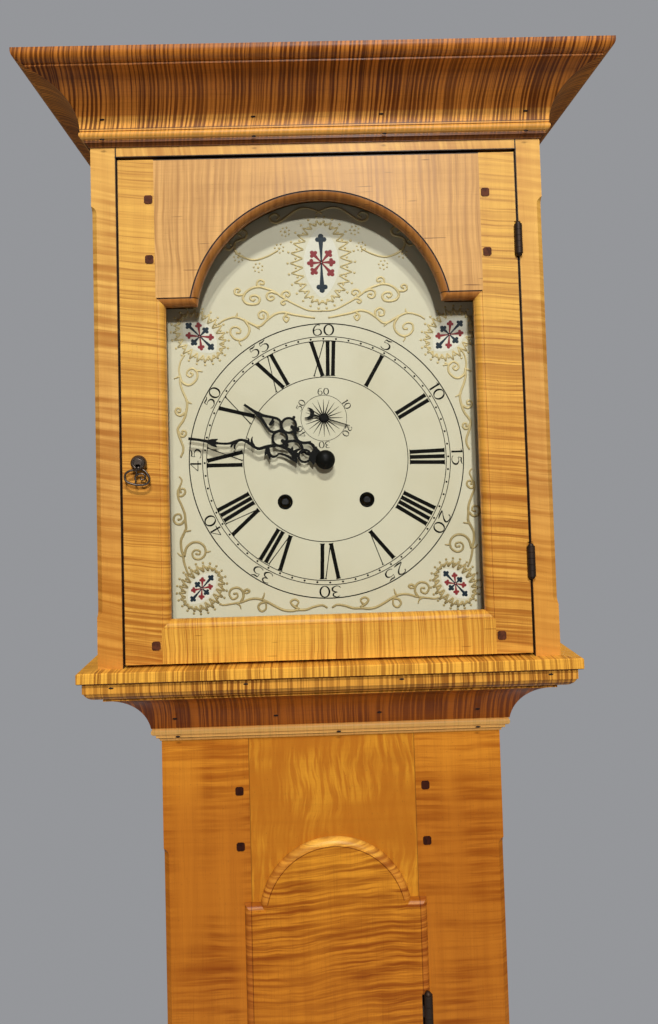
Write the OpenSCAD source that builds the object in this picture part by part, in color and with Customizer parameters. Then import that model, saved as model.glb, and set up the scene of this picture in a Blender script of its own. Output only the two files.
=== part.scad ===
// Longcase clock: a curly maple country case with a flat cornice, an arched glazed hood door,
// a lipped and arched trunk door, and an eight-day two-train movement with a seconds pendulum.
// Millimetres. X to the right, the wall at +Y, Z up from the floor.

/* [Case] */
// Height from the floor to the top of the cornice
case_h = 2133; // [2120:1:2150]
// Width of the hood, and of the base
hood_w = 430; // [427:1:433]
// Depth of the hood from its front to the wall
hood_d = 245; // [240:1:255]
// Width of the trunk
trunk_w = 331; // [329:1:333]
// Thickness of the front frames
frame_t = 20; // [19:0.5:21]
// Thickness of the side boards
side_t = 14; // [12:0.5:16]
// Thickness of the back board
back_t = 12; // [10:0.5:14]
// Height of the top of the base box
base_top = 640; // [600:5:660]
// Height of the plinth moulding's underside
foot_h = 110; // [100:2:120]

/* [Mouldings] */
// Height of the cornice
cornice_h = 72; // [70:0.5:76]
// How far the cornice stands out from the hood
cornice_p = 57; // [56:0.5:60]
// Radius of the cornice's cove
cove_r = 45.5; // [44.5:0.5:46]
// Height of the waist moulding
waist_h = 71; // [70:0.5:72]
// Radius of the waist moulding's cove
waist_cove_r = 46.4; // [45.6:0.2:47]
// Radius of the small beads below the coves
bead_r = 3.7; // [3.5:0.1:3.9]
// Thickness of the hood's lower frame, which shows as the ledge
ledge_t = 10; // [9.5:0.5:11]
// How far the ledge stands out from the hood
ledge_p = 16.5; // [15:0.5:18]

/* [Hood door] */
// Width and height of the square part of the glass seen from the front
sight_w = 295; // [290:1:296]
// Radius of the arch of the glass seen from the front
sight_r = 118.5; // [116:0.5:120]
// Height of the door's shoulders above the centre of its arch
arch_drop = 18; // [16:0.5:20]
// Width of the door
hood_door_w = 380; // [378:0.5:381]
// Distance from the edge of the glass to the joints of the stiles
stile_joint = 8; // [7.5:0.25:9]
// Width of the rounded moulding round the glass
stick_w = 6.5; // [6:0.25:7]
// Width of the square wooden pegs with their pared corners
peg_w = 8; // [7.5:0.25:9]

/* [Trunk door] */
// Width of the door over its lips
trunk_door_w = 176; // [174:1:178]
// Radius of the door's arch over its lip
trunk_arch_r = 74; // [73:0.5:75]
// How far the lips stand out from the trunk
lip_t = 8.5; // [8:0.25:9]
// Height of the door's bottom edge from the floor
trunk_door_z = 770; // [760:5:790]

/* [Movement] */
// How far the dial stands to the right of the case's middle line
dial_x = 1.3; // [0:0.1:2]
// Distance of the winding squares from the middle, across and down
square_x = 40; // [39.5:0.1:40.5]
// Radius of the line drums
drum_r = 24; // [23.5:0.1:24.2]
// Length of the pendulum from its pivot to the middle of the bob
pendulum_l = 994; // [990:1:998]
// Diameter of the pendulum bob
bob_d = 108; // [100:1:112]
// Height of the weights
weight_h = 190; // [170:5:200]

/* [Hidden] */
$fn = 72;

// Colours of the woods and metals
maple = "#d9973f";
maple_deep = "#bd742c";
maple_pale = "#e3b063";
walnut = "#4a2a22";
pine = "#c9a26b";
iron = "#2c2622";
brass = "#c29b45";
steel = "#9a9a98";
enamel = "#d9d6b4";

// Faces and levels of the case
y_wall = (hood_d + cornice_p) / 2;
y_hood = y_wall - hood_d;
y_back = y_wall - back_t;
trunk_set = (hood_w - trunk_w) / 2;
y_trunk = y_hood + trunk_set;
z_cornice = case_h - cornice_h;
gap = 3;
z_gap = z_cornice - 9.5;
z_door_top = z_gap - gap;
z_shoulder = z_cornice - 153;
z_sill = z_shoulder - sight_w;
z_door = z_sill - 39.5;
z_ledge = z_door - gap;
z_waist = z_ledge - ledge_t;
z_trunk = z_waist - waist_h;
z_arch = z_shoulder - arch_drop;
z_dial = z_sill + 145.5;
hood_x = hood_w / 2;
trunk_x = trunk_w / 2;
hood_gap_x = hood_door_w / 2 + 1;
joint_x = sight_w / 2 + stile_joint;
peg_x = joint_x + 5.2;
lock_z = z_dial + 1.5;
chamfer = 5;

// Trunk door: the lip laps over the opening, and the body of the door stands inside it
trunk_gap_x = 81.3;
trunk_body_x = 79.8;
lip_gap = 0.5;
body_t = 12;
z_trunk_arch = z_trunk - 170.7;
z_trunk_shoulder = z_trunk - 156.5;

// Movement: the arbors in X and Z from the centre arbor, and the planes of the plates in Y
y_dial = y_hood + 36;
dial_t = 1.6;
y_plate = y_hood + 68;
plate_t = 3;
plate_gap = 60;
y_rear = y_plate + plate_t + plate_gap;
plate_w = 140;
plate_low = -82;
plate_top = 76;
arm = 41;
pallet_z = 65;
y_pendulum = y_rear + 26;
inter_at = [20, -10];
third_at = [5.08, 21.16];
strike_great_m = 0.8;
pin_at = [-46.3, -4.15];
gather_at = [-40.24, 18.45];
fly_at = [-30.79, 34.82];
hammer_at = [-62, 34];
minute_wheel_at = [-16.97, -16.97];
z_seat = z_dial + plate_low;
seat_t = 18;
weight_low = 330;
line_x = square_x + drum_r + 0.75;
line_y = y_plate + 36;
shaft_fit = 0.05;

// Hands: their angles clockwise from twelve, and how much their strokes are thickened
y_hands = y_dial - 11;
hand_weight = 1.3;
minute_angle = 280.3;
hour_angle = 305.8;
seconds_angle = 108;

// Lock, key and pegs of the hood door
bolt_y = y_hood + 12.2;
bolt_travel = 7;
bow_hinge = [y_hood - 8.3, lock_z - 4.6];
door_pegs = [
  for (x = [-peg_x, peg_x], z = [z_door_top - 38.5, z_door_top - 96, z_door + 17]) [x, z]
];
plinth_p = 12;

// Draws a box between two opposite corners
module box(low, high) {
  translate(low) cube(high - low);
}

// Stands an outline drawn in X and Z up at y, with its thickness going towards the wall
module slab(y, t) {
  translate([0, y + t, 0]) rotate([90, 0, 0]) linear_extrude(t) children();
}

// A round bar along Y from y with its axis at [x, z]
module bar(at, y, l, r) {
  translate([at[0], y, at[1]]) rotate([-90, 0, 0]) cylinder(r = r, h = l);
}

// Draws its children on both sides of the case
module both_sides() {
  children();
  mirror([1, 0, 0]) children();
}

// A moulding along X on a face at y_face: its profile has the projection as x and the height as y
module front_run(length, y_face) {
  translate([-length / 2, y_face, 0]) rotate([90, 0, 90]) linear_extrude(length) mirror([1, 0]) children();
}

// The same moulding along the left side, on a face at x_face
module side_run(x_face, y_end, length) {
  translate([x_face, y_end, 0]) rotate([90, 0, 0]) linear_extrude(length) mirror([1, 0]) children();
}

// The plan of a front moulding's mitred length, for a face that is half_w wide each way
module front_plan(half_w, y_face, out, inner) {
  polygon([
    [-half_w - out, y_face - out], [half_w + out, y_face - out],
    [half_w - inner, y_face + inner], [-half_w + inner, y_face + inner]
  ]);
}

// The plan of the left return that meets it
module side_plan(half_w, y_face, out, inner) {
  polygon([
    [-half_w - out, y_face - out], [-half_w + inner, y_face + inner],
    [-half_w + inner, y_wall], [-half_w - out, y_wall]
  ]);
}

// Cuts the moulding drawn by its child to the mitred front length
module mitred_front(half_w, y_face, out, inner = 0) {
  intersection() {
    front_run(2 * (half_w + out) + 2, y_face) children();
    linear_extrude(case_h) front_plan(half_w, y_face, out, inner);
  }
}

// Cuts it to the mitred left return
module mitred_return(half_w, y_face, out, inner = 0) {
  intersection() {
    side_run(-half_w, y_wall, y_wall - y_face + out + 1) children();
    linear_extrude(case_h) side_plan(half_w, y_face, out, inner);
  }
}

// Foot of both big mouldings: a small cove, a fillet and a bead
foot_cove = 3.4;
foot_x = 4.8;
bead_x = 5.2;
bead_low = foot_cove + 2.8;
bead_top = bead_low + 2 * bead_r;
waist_p = trunk_set + 12;

module bead_foot() {
  difference() {
    square([foot_x, bead_low + 0.1]);
    translate([foot_x, 0]) circle(foot_cove);
  }
  translate([0, bead_low]) square([bead_x, bead_top - bead_low]);
  translate([bead_x, bead_low + bead_r]) circle(bead_r);
}

// Cornice profile from its foot at z_cornice: bead, deep sprung cove, fillet and ovolo
module cornice_profile() {
  cove_x = bead_x + bead_r - 1;
  fillet_x = cove_r + 2.5;
  ovolo_r = cornice_p - fillet_x + 0.5;
  ovolo_z = cornice_h - ovolo_r - 2.3;
  translate([0, z_cornice]) {
    bead_foot();
    difference() {
      translate([0, bead_top - 0.1]) square([fillet_x, ovolo_z - bead_top + 0.1]);
      translate([cove_x + cove_r, bead_top - 0.4]) circle(cove_r);
    }
    translate([0, ovolo_z - 0.5]) square([cornice_p - ovolo_r, cornice_h - ovolo_z + 0.5]);
    intersection() {
      translate([cornice_p - ovolo_r, ovolo_z + ovolo_r]) circle(ovolo_r);
      translate([cornice_p - ovolo_r - 1, ovolo_z - 1]) square([ovolo_r + 1, ovolo_r + 1]);
    }
    translate([0, ovolo_z + ovolo_r - 0.1]) square([cornice_p, cornice_h - ovolo_z - ovolo_r + 0.1]);
  }
}

// Waist profile from the trunk's face up: bead, sprung cove, fillet, ovolo and an upright band
module waist_profile() {
  cove_x = bead_x + bead_r - 1.1;
  fillet_x = 46;
  ovolo_r = 12;
  ovolo_x = waist_p - ovolo_r - 0.1;
  ovolo_z = waist_h - 17;
  band_z = waist_h - 9.4;
  bead_foot();
  difference() {
    translate([0, bead_top - 0.1]) square([fillet_x, ovolo_z - bead_top + 0.4]);
    translate([cove_x + waist_cove_r, 5.1]) circle(waist_cove_r);
  }
  translate([0, ovolo_z]) square([ovolo_x, band_z - ovolo_z + 0.1]);
  intersection() {
    translate([ovolo_x, ovolo_z + ovolo_r]) circle(ovolo_r);
    translate([ovolo_x - 1, ovolo_z]) square([ovolo_r + 1, band_z - ovolo_z + 0.1]);
  }
  translate([0, band_z]) square([waist_p, waist_h - band_z]);
}

// Plinth profile on the base's face: a fillet, an ogee of two arcs and a flat band
module plinth_profile() {
  band = 22;
  out = 12;
  square([out, band]);
  translate([0, band]) square([out - 8, 12]);
  difference() {
    translate([0, band]) square([out - 2, 8]);
    translate([out - 2, band + 8]) circle(6);
  }
}

// A stopped chamfer's cutter on an upright corner at [x, y], with the wood towards +X and +Y
module chamfer_cutter(x, y, low, high) {
  nose = 8;
  run_out = 7;
  depth = chamfer / sqrt(2);
  translate([x, y, 0]) rotate([0, 0, 45]) rotate([90, 0, 0])
    linear_extrude(6 * chamfer, center = true) union() {
      translate([-nose, low + run_out]) square([nose + depth, high - low - 2 * run_out]);
      for (end = [low + run_out, high - run_out]) translate([depth - nose, end]) circle(nose);
    }
}

// Outline of the glass seen from the front, made larger by grow all round
module sight_outline(grow = 0) {
  translate([-sight_w / 2 - grow, z_sill - grow]) square([sight_w + 2 * grow, sight_w + 2 * grow]);
  translate([0, z_arch]) circle(sight_r + grow);
}

// Outline of the trunk door over its lip, made smaller by inset all round
module trunk_door_outline(inset = 0) {
  half = trunk_door_w / 2 - inset;
  translate([-half, trunk_door_z + inset])
    square([2 * half, z_trunk_shoulder - trunk_door_z - 2 * inset]);
  translate([0, z_trunk_arch]) circle(trunk_arch_r - inset);
}

// Section of what is cut away to leave the rounded moulding: x runs from the glass outwards, y in depth
module sticking_section() {
  quirk = 0.9;
  difference() {
    translate([-2, -1]) square([stick_w + 2, stick_w + 1.4]);
    translate([stick_w, stick_w + 0.4]) circle(stick_w - 0.3);
  }
  translate([stick_w - 0.2, -1]) square([quirk, 2.2]);
}

// Cutter along the left upright edge of the glass
module sticking_upright() {
  translate([-sight_w / 2, y_hood, z_sill - 20]) linear_extrude(sight_w + 40)
    mirror([1, 0]) sticking_section();
}

// Cutter along a level edge of the glass, with the wood above it, or below it if under is true
module sticking_level(z, under = false) {
  translate([-sight_w / 2 - 20, y_hood, z]) rotate([90, 0, 90]) linear_extrude(sight_w + 40)
    mirror([0, under ? 1 : 0]) mirror([1, -1]) sticking_section();
}

// The places of the eight pegs in the trunk's stiles
trunk_peg_x = trunk_gap_x + 9.5;
trunk_peg_low = base_top + waist_h;
trunk_peg_places = [
  for (x = [-trunk_peg_x, trunk_peg_x],
       z = [z_trunk - 51, z_trunk - 104, trunk_peg_low + 18, trunk_peg_low + 44]) [x, z]
];

// Square pegs with pared corners, from y, at a list of [x, z] places
module pegs(places, y, length) {
  for (at = places) slab(y, length) translate(at) intersection() {
    square(peg_w, center = true);
    rotate(45) square(1.17 * peg_w, center = true);
  }
}

// The whole hood door as one board with the glass opening and its rebate, before it is split
module hood_door_blank() {
  rebate = 12;
  difference() {
    slab(y_hood, frame_t) translate([-hood_door_w / 2, z_door])
      square([hood_door_w, z_door_top - z_door]);
    slab(y_hood - 1, frame_t + 2) sight_outline();
    slab(y_hood + rebate, frame_t) sight_outline(5.5);
  }
}

// Left half plan of a stile with its mitres, drawn in X and Z
module stile_region() {
  m = stile_joint;
  edge = sight_w / 2;
  polygon([
    [-hood_door_w / 2 - 1, z_door - 1], [-joint_x, z_door - 1], [-joint_x, z_sill - m],
    [-edge, z_sill], [-edge, z_shoulder], [-joint_x, z_shoulder + m],
    [-joint_x, z_door_top + 1], [-hood_door_w / 2 - 1, z_door_top + 1]
  ]);
}

// Hinges, lock and latch: axes, heights and sizes
hinge_at = [hood_door_w / 2 + 0.5, y_hood - 2.6];
knuckle_r = 3.65;
hinge_h = 28.5;
hood_hinges = [z_door + 70.7, z_door + 375.7];
leaf_t = 1.2;
lock_at = [-(hood_door_w / 2 + joint_x) / 2, lock_z];
lock_d = 10;
key_r = 2.9;
trunk_hinge_at = [trunk_door_w / 2 - 2.2, y_trunk - lip_t + 0.5];
trunk_knuckle_r = 4.2;
trunk_hinge_h = 52;
trunk_hinges = [trunk_door_z + 60, z_trunk - 297];
knob_at = [-68, trunk_door_z + 305];

// One half of a hinge: the knuckles in share, of count in all, and their leaf between two X values
module hinge_half(at, low, height, r, pin_r, count, share, leaf, depth) {
  one = height / count;
  clear = 0.15;
  difference() {
    union() {
      for (k = share) {
        translate([at[0], at[1], low + k * one + clear]) cylinder(r = r, h = one - 2 * clear);
        box([min(leaf[0], at[0]), at[1], low + k * one + clear],
            [max(leaf[1], at[0]), at[1] + 0.8 * r, low + (k + 1) * one - clear]);
        box([leaf[0], at[1] + 0.5 * r, low + k * one + clear],
            [leaf[1], at[1] + r + 2, low + (k + 1) * one - clear]);
      }
      box([leaf[0], at[1] + r + 0.4, low], [leaf[1], at[1] + depth, low + height]);
    }
    translate([at[0], at[1], low - 1]) cylinder(r = pin_r, h = height + 2);
  }
}

// A hinge pin with a rounded tip above and below
module hinge_pin(at, low, height, pin_r, tip_r) {
  translate([at[0], at[1], low - 0.2]) cylinder(r = pin_r, h = height + 0.4);
  translate([at[0], at[1], low + height]) intersection() {
    sphere(tip_r);
    cylinder(r = tip_r, h = tip_r);
  }
  translate([at[0], at[1], low]) intersection() {
    sphere(tip_r);
    translate([0, 0, -tip_r]) cylinder(r = tip_r, h = tip_r);
  }
}

module back_board() color(pine) {
  ear_x = hood_x - side_t - 1;
  base_x = hood_x - side_t;
  base_low = 60;
  ear_low = z_ledge + 2;
  slab(y_back, back_t) polygon([
    [-base_x, base_low], [base_x, base_low], [base_x, base_top], [trunk_x, base_top],
    [trunk_x, ear_low], [ear_x, ear_low], [ear_x, case_h - 14], [-ear_x, case_h - 14],
    [-ear_x, ear_low], [-trunk_x, ear_low], [-trunk_x, base_top], [-base_x, base_top]
  ]);
}

// The side boards run down into the base and up behind the dial as the cheeks of the seat board
module trunk_sides() color(maple_deep) {
  cheek_y = y_plate - 4;
  low = base_top - 60;
  y_front = y_trunk + frame_t;
  both_sides() translate([-trunk_x, 0, 0]) rotate([90, 0, 90]) linear_extrude(side_t) polygon([
    [y_front, low], [y_back, low], [y_back, z_seat - seat_t], [cheek_y, z_seat - seat_t],
    [cheek_y, z_waist], [y_front, z_waist]
  ]);
}

module trunk_stiles() color(maple_deep) {
  difference() {
    both_sides() difference() {
      box([-trunk_x, y_trunk, base_top - 40], [-trunk_gap_x, y_trunk + frame_t, z_waist]);
      chamfer_cutter(-trunk_x, y_trunk, base_top + waist_h + 70, z_trunk - 103);
    }
    for (z = trunk_hinges) box([trunk_gap_x - 1, y_trunk - 1, z - 0.2],
                               [trunk_gap_x + 1.6, y_trunk + 17, z + trunk_hinge_h + 0.2]);
    pegs(trunk_peg_places, y_trunk - 1, 17);
  }
}

module trunk_rails() color(maple) {
  inset = trunk_door_w / 2 - trunk_gap_x;
  difference() {
    slab(y_trunk, frame_t) union() {
      translate([-trunk_gap_x, z_trunk_shoulder - inset])
        square([2 * trunk_gap_x, z_waist - z_trunk_shoulder + inset]);
      translate([-trunk_gap_x, base_top - 40])
        square([2 * trunk_gap_x, trunk_door_z + inset - base_top + 40]);
    }
    slab(y_trunk - 1, frame_t + 2) translate([0, z_trunk_arch]) circle(trunk_arch_r - inset);
  }
}

module trunk_pegs() color(walnut) {
  pegs(trunk_peg_places, y_trunk - 0.8, 16.8);
}

module waist_moulding() color(maple) translate([0, 0, z_trunk]) {
  mitred_front(trunk_x, y_trunk, waist_p) waist_profile();
  both_sides() mitred_return(trunk_x, y_trunk, waist_p) waist_profile();
}

module base_boards() color(maple_deep) {
  low = foot_h;
  box([-hood_x, y_hood, low], [hood_x, y_hood + 18, base_top]);
  both_sides() box([-hood_x, y_hood + 18, low], [-hood_x + side_t, y_wall, base_top]);
}

// The base's upper moulding is the waist moulding turned over, and the plinth runs round its foot
module base_mouldings() color(maple) {
  translate([0, 0, base_top]) {
    mitred_front(trunk_x, y_trunk, waist_p) translate([0, waist_h]) mirror([0, 1]) waist_profile();
    both_sides() mitred_return(trunk_x, y_trunk, waist_p)
      translate([0, waist_h]) mirror([0, 1]) waist_profile();
  }
  translate([0, 0, foot_h]) {
    mitred_front(hood_x, y_hood, plinth_p) plinth_profile();
    both_sides() mitred_return(hood_x, y_hood, plinth_p) plinth_profile();
  }
}

// Outline of one bracket foot from the corner: a straight toe under a sweeping curve
module bracket_outline(length) {
  toe = 44;
  sweep = 52;
  rail = 14;
  difference() {
    square([length, foot_h]);
    translate([toe, -1]) square([length, foot_h - rail - sweep + 1]);
    translate([toe + sweep, foot_h - rail - sweep]) circle(sweep);
    translate([toe + sweep, -1]) square([length, foot_h - rail + 1]);
  }
}

// Front feet are mitred at the corner under the plinth; the back feet are plain side brackets
module bracket_feet() color(maple) {
  foot_t = 22;
  out = plinth_p - 1;
  side_long = 116;
  long = 128;
  both_sides() {
    intersection() {
      translate([-hood_x - out, y_hood - out + foot_t, 0]) rotate([90, 0, 0])
        linear_extrude(foot_t) bracket_outline(long);
      linear_extrude(foot_h) polygon([
        [-hood_x - out, y_hood - out], [hood_x, y_hood - out], [hood_x, y_hood - out + foot_t],
        [-hood_x - out + foot_t, y_hood - out + foot_t]
      ]);
    }
    intersection() {
      translate([-hood_x - out, y_hood - out, 0]) rotate([90, 0, 90])
        linear_extrude(foot_t) bracket_outline(side_long);
      linear_extrude(foot_h) polygon([
        [-hood_x - out, y_hood - out], [-hood_x - out + foot_t, y_hood - out + foot_t],
        [-hood_x - out + foot_t, y_wall], [-hood_x - out, y_wall]
      ]);
    }
    translate([-hood_x - out, y_wall, 0]) mirror([0, 1, 0]) rotate([90, 0, 90])
      linear_extrude(foot_t) bracket_outline(side_long);
  }
}

// Seat board across the cheeks, with slots for the two lines
module seat_board() color(pine) {
  slot = [12, 46];
  difference() {
    box([-trunk_x, y_plate - 4, z_seat - seat_t], [trunk_x, y_rear + 12, z_seat]);
    for (side = [-1, 1]) box([dial_x + side * line_x - slot[0] / 2, line_y - slot[1] / 2, z_seat - 20],
                             [dial_x + side * line_x + slot[0] / 2, line_y + slot[1] / 2, z_seat + 1]);
  }
}

module trunk_hinge_leaves() color(iron) {
  leaf = [trunk_gap_x + 0.3, trunk_gap_x + 0.3 + leaf_t];
  for (z = trunk_hinges) {
    hinge_half(trunk_hinge_at, z, trunk_hinge_h, trunk_knuckle_r, 1.4, 5, [0, 2, 4], leaf, 24);
    hinge_pin(trunk_hinge_at, z, trunk_hinge_h, 1.5, 3.2);
  }
}

module hood_sides() color(maple) {
  both_sides() box([-hood_x, y_hood + frame_t, z_ledge], [-hood_x + side_t, y_wall, case_h - 12]);
}

// The stiles run the full height and the rail joins them above the door
module hood_front_frame() color(maple) {
  mortise = [9, 5, 13];
  difference() {
    both_sides() difference() {
      box([-hood_x, y_hood, z_ledge], [-hood_gap_x, y_hood + frame_t, case_h - 12]);
      chamfer_cutter(-hood_x, y_hood, z_ledge + 47, z_cornice - 56);
    }
    box([-hood_gap_x - mortise[0], bolt_y - 1, lock_at[1] - mortise[2] / 2],
        [-hood_gap_x + 1, bolt_y - 1 + mortise[1], lock_at[1] + mortise[2] / 2]);
    for (z = hood_hinges) {
      box([hood_gap_x - 1, y_hood - 1, z - 0.2],
          [hood_gap_x + leaf_t, y_hood + 14, z + hinge_h + 0.2]);
      translate([hinge_at[0], hinge_at[1], z - 3.6]) cylinder(r = knuckle_r + 0.4, h = hinge_h + 7.2);
    }
  }
  box([-hood_gap_x, y_hood, z_gap], [hood_gap_x, y_hood + frame_t, case_h - 12]);
}

module hood_top_board() color(pine) {
  box([-hood_x, y_hood, case_h - 12], [hood_x, y_wall, case_h]);
}

// Three strips under the hood, open at the back; their edges show as the ledge
module hood_base_frame() color(maple) {
  inner_x = trunk_x + 5;
  edge = 1.2;
  out = hood_x + ledge_p;
  y_out = y_hood - ledge_p;
  translate([0, 0, z_waist]) difference() {
    linear_extrude(ledge_t) difference() {
      translate([-out, y_out]) square([2 * out, y_wall - y_out]);
      translate([-inner_x, y_trunk]) square([2 * inner_x, y_wall - y_trunk + 1]);
    }
    for (z = [0, ledge_t]) {
      translate([-out - 1, y_out, z]) rotate([45, 0, 0])
        translate([0, -edge / 2, -edge / 2]) cube([2 * out + 2, edge, edge]);
      both_sides() translate([-out, y_out - 1, z]) rotate([0, 45, 0])
        translate([-edge / 2, 0, -edge / 2]) cube([edge, hood_d + 50, edge]);
    }
  }
}

module cornice_front() color(maple) {
  mitred_front(hood_x, y_hood, cornice_p) cornice_profile();
}

module cornice_returns() color(maple) {
  both_sides() mitred_return(hood_x, y_hood, cornice_p) cornice_profile();
}

// Board inside the hood that the door shuts against, open round the dial
module hood_mask() color(pine) {
  y_mask = y_hood + frame_t + 1;
  slab(y_mask, 8) difference() {
    translate([-hood_x + side_t, z_ledge]) square([2 * (hood_x - side_t), case_h - 14 - z_ledge]);
    sight_outline(7);
  }
}

module hood_hinge_leaves() color(iron) {
  leaf = [hood_gap_x, hood_gap_x + leaf_t];
  for (z = hood_hinges) {
    hinge_half(hinge_at, z, hinge_h, knuckle_r, 1.2, 5, [0, 2, 4], leaf, 16);
    hinge_pin(hinge_at, z, hinge_h, 1.3, 2.7);
  }
}

module hood_door_stiles() color(maple) {
  difference() {
    both_sides() difference() {
      intersection() {
        hood_door_blank();
        slab(y_hood - 1, frame_t + 2) stile_region();
      }
      sticking_upright();
    }
    for (z = hood_hinges) {
      box([hood_door_w / 2 - leaf_t, y_hood - 1, z - 0.2],
          [hood_door_w / 2 + 1, y_hood + 14, z + hinge_h + 0.2]);
      translate([hinge_at[0], hinge_at[1], z - 3.6]) cylinder(r = knuckle_r + 0.4, h = hinge_h + 7.2);
    }
    box([-hood_door_w / 2 - 1, y_hood + frame_t - lock_d, lock_at[1] - 23],
        [-hood_door_w / 2 + 32, y_hood + frame_t + 1, lock_at[1] + 23]);
    bar(lock_at, y_hood - 1, frame_t, key_r + 0.3);
    pegs(door_pegs, y_hood - 1, 17);
  }
}

module hood_door_top_rail() color(maple_pale) {
  edge = sight_w / 2;
  difference() {
    intersection() {
      hood_door_blank();
      slab(y_hood - 1, frame_t + 2) polygon([
        [-joint_x, z_door_top + 1], [-joint_x, z_shoulder + stile_joint], [-edge, z_shoulder],
        [edge, z_shoulder], [joint_x, z_shoulder + stile_joint], [joint_x, z_door_top + 1]
      ]);
    }
    sticking_level(z_shoulder);
    translate([0, y_hood, z_arch]) rotate([-90, 0, 0]) rotate_extrude()
      translate([sight_r, 0]) sticking_section();
  }
}

module hood_door_bottom_rail() color(maple) {
  edge = sight_w / 2;
  difference() {
    intersection() {
      hood_door_blank();
      slab(y_hood - 1, frame_t + 2) polygon([
        [-joint_x, z_door - 1], [-joint_x, z_sill - stile_joint], [-edge, z_sill],
        [edge, z_sill], [joint_x, z_sill - stile_joint], [joint_x, z_door - 1]
      ]);
    }
    sticking_level(z_sill, true);
  }
}

module hood_door_glass() color("#dfe9e4", 0.35) {
  slab(y_hood + 12, 2) sight_outline(5);
}

module hood_door_pegs() color(walnut) {
  pegs(door_pegs, y_hood - 0.8, 14.8);
}

module hood_door_hinges() color(iron) {
  leaf = [hood_door_w / 2 - leaf_t, hood_door_w / 2];
  for (z = hood_hinges)
    hinge_half(hinge_at, z, hinge_h, knuckle_r, 1.3 + shaft_fit, 5, [1, 3], leaf, 16);
}

// Lock case let into the back of the stile, hollow for the key's bit and slotted for the bolt
module hood_door_lock() color(brass) {
  y = y_hood + frame_t - lock_d;
  edge = -hood_door_w / 2;
  difference() {
    box([edge, y, lock_at[1] - 23], [edge + 32, y + lock_d, lock_at[1] + 23]);
    bar(lock_at, y - 1, lock_d, key_r + shaft_fit);
    bar(lock_at, y + 5.5, 3.3, 9);
    box([edge - 1, bolt_y - 0.2, lock_at[1] - 5.2], [edge + 30.5, bolt_y + 3.2, lock_at[1] + 5.2]);
  }
}

// Bolt behind the keyhole, drawn back at rest; its slot lets the key's shank through
module hood_lock_bolt() color(steel) {
  edge = -hood_door_w / 2;
  difference() {
    box([edge + 0.5, bolt_y, lock_at[1] - 5], [edge + 30, bolt_y + 3, lock_at[1] + 5]);
    translate([bolt_travel / 2, 0, 0]) {
      bar([lock_at[0] - bolt_travel / 2, lock_at[1]], bolt_y - 1, 6, key_r + 0.4);
      bar([lock_at[0] + bolt_travel / 2, lock_at[1]], bolt_y - 1, 6, key_r + 0.4);
      box([lock_at[0] - bolt_travel / 2, bolt_y - 1, lock_at[1] - key_r - 0.4],
          [lock_at[0] + bolt_travel / 2, bolt_y + 4, lock_at[1] + key_r + 0.4]);
    }
  }
}

// The key's shank ends in a round turned knob, slotted below for the hanging bow
module hood_door_key() color(iron) {
  y_face = y_hood - 0.3;
  knob_r = 7.4;
  y_bit = y_hood + frame_t - lock_d + 6;
  bar(lock_at, y_face - 2, y_bit + 4.4 - y_face, key_r);
  box([lock_at[0] - 1.4, y_bit, lock_at[1] - 8.4], [lock_at[0] + 1.4, y_bit + 2.2, lock_at[1]]);
  difference() {
    translate([lock_at[0], y_face, lock_at[1]]) rotate([90, 0, 0]) rotate_extrude() difference() {
      union() {
        square([knob_r - 1, 2]);
        square([knob_r - 2.6, 8]);
        intersection() {
          translate([0, 7.5]) circle(knob_r);
          translate([0, 3]) square([knob_r, 9.5]);
        }
      }
      translate([4.2, 13]) circle(0.9);
    }
    box([lock_at[0] - 2.1, bow_hinge[0] - 5, lock_at[1] - 9],
        [lock_at[0] + 2.1, bow_hinge[0] + 3.6, bow_hinge[1] + 3.4]);
  }
  translate([lock_at[0] - 4.6, bow_hinge[0], bow_hinge[1]]) rotate([0, 90, 0]) cylinder(r = 1.1, h = 9.2);
}

// Pierced bow with two round eyes, hanging on the key's cross pin
module key_bow() color(iron) {
  eye_r = 7.6;
  hole_r = 4.7;
  apart = 6.6;
  drop = 14.5;
  thick = 3.4;
  difference() {
    union() {
      translate([lock_at[0], bow_hinge[0] + thick / 2, bow_hinge[1] - drop]) rotate([90, 0, 0])
        linear_extrude(thick) difference() {
          union() {
            for (side = [-1, 1]) translate([side * apart, 0]) circle(eye_r);
            translate([-1.8, 0]) square([3.6, drop]);
            translate([-4, 4]) square([8, 4.5]);
          }
          for (side = [-1, 1]) translate([side * apart, -0.3]) circle(hole_r);
        }
      translate([lock_at[0] - 1.8, bow_hinge[0], bow_hinge[1]]) rotate([0, 90, 0])
        cylinder(r = 2.9, h = 3.6);
    }
    translate([lock_at[0] - 3, bow_hinge[0], bow_hinge[1]]) rotate([0, 90, 0])
      cylinder(r = 1.1 + shaft_fit, h = 6);
  }
}

// Section of the lip, half wide each way, with its front corners rounded behind a small fillet
module lip_section(half) {
  round_r = 6;
  fillet = 0.8;
  difference() {
    translate([-half, 0]) square([2 * half, lip_t - lip_gap]);
    for (side = [0, 1]) mirror([side, 0]) difference() {
      translate([half - round_r, -1]) square([round_r + 1, round_r + fillet + 1]);
      translate([half - round_r, round_r + fillet]) circle(round_r);
    }
  }
}

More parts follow.
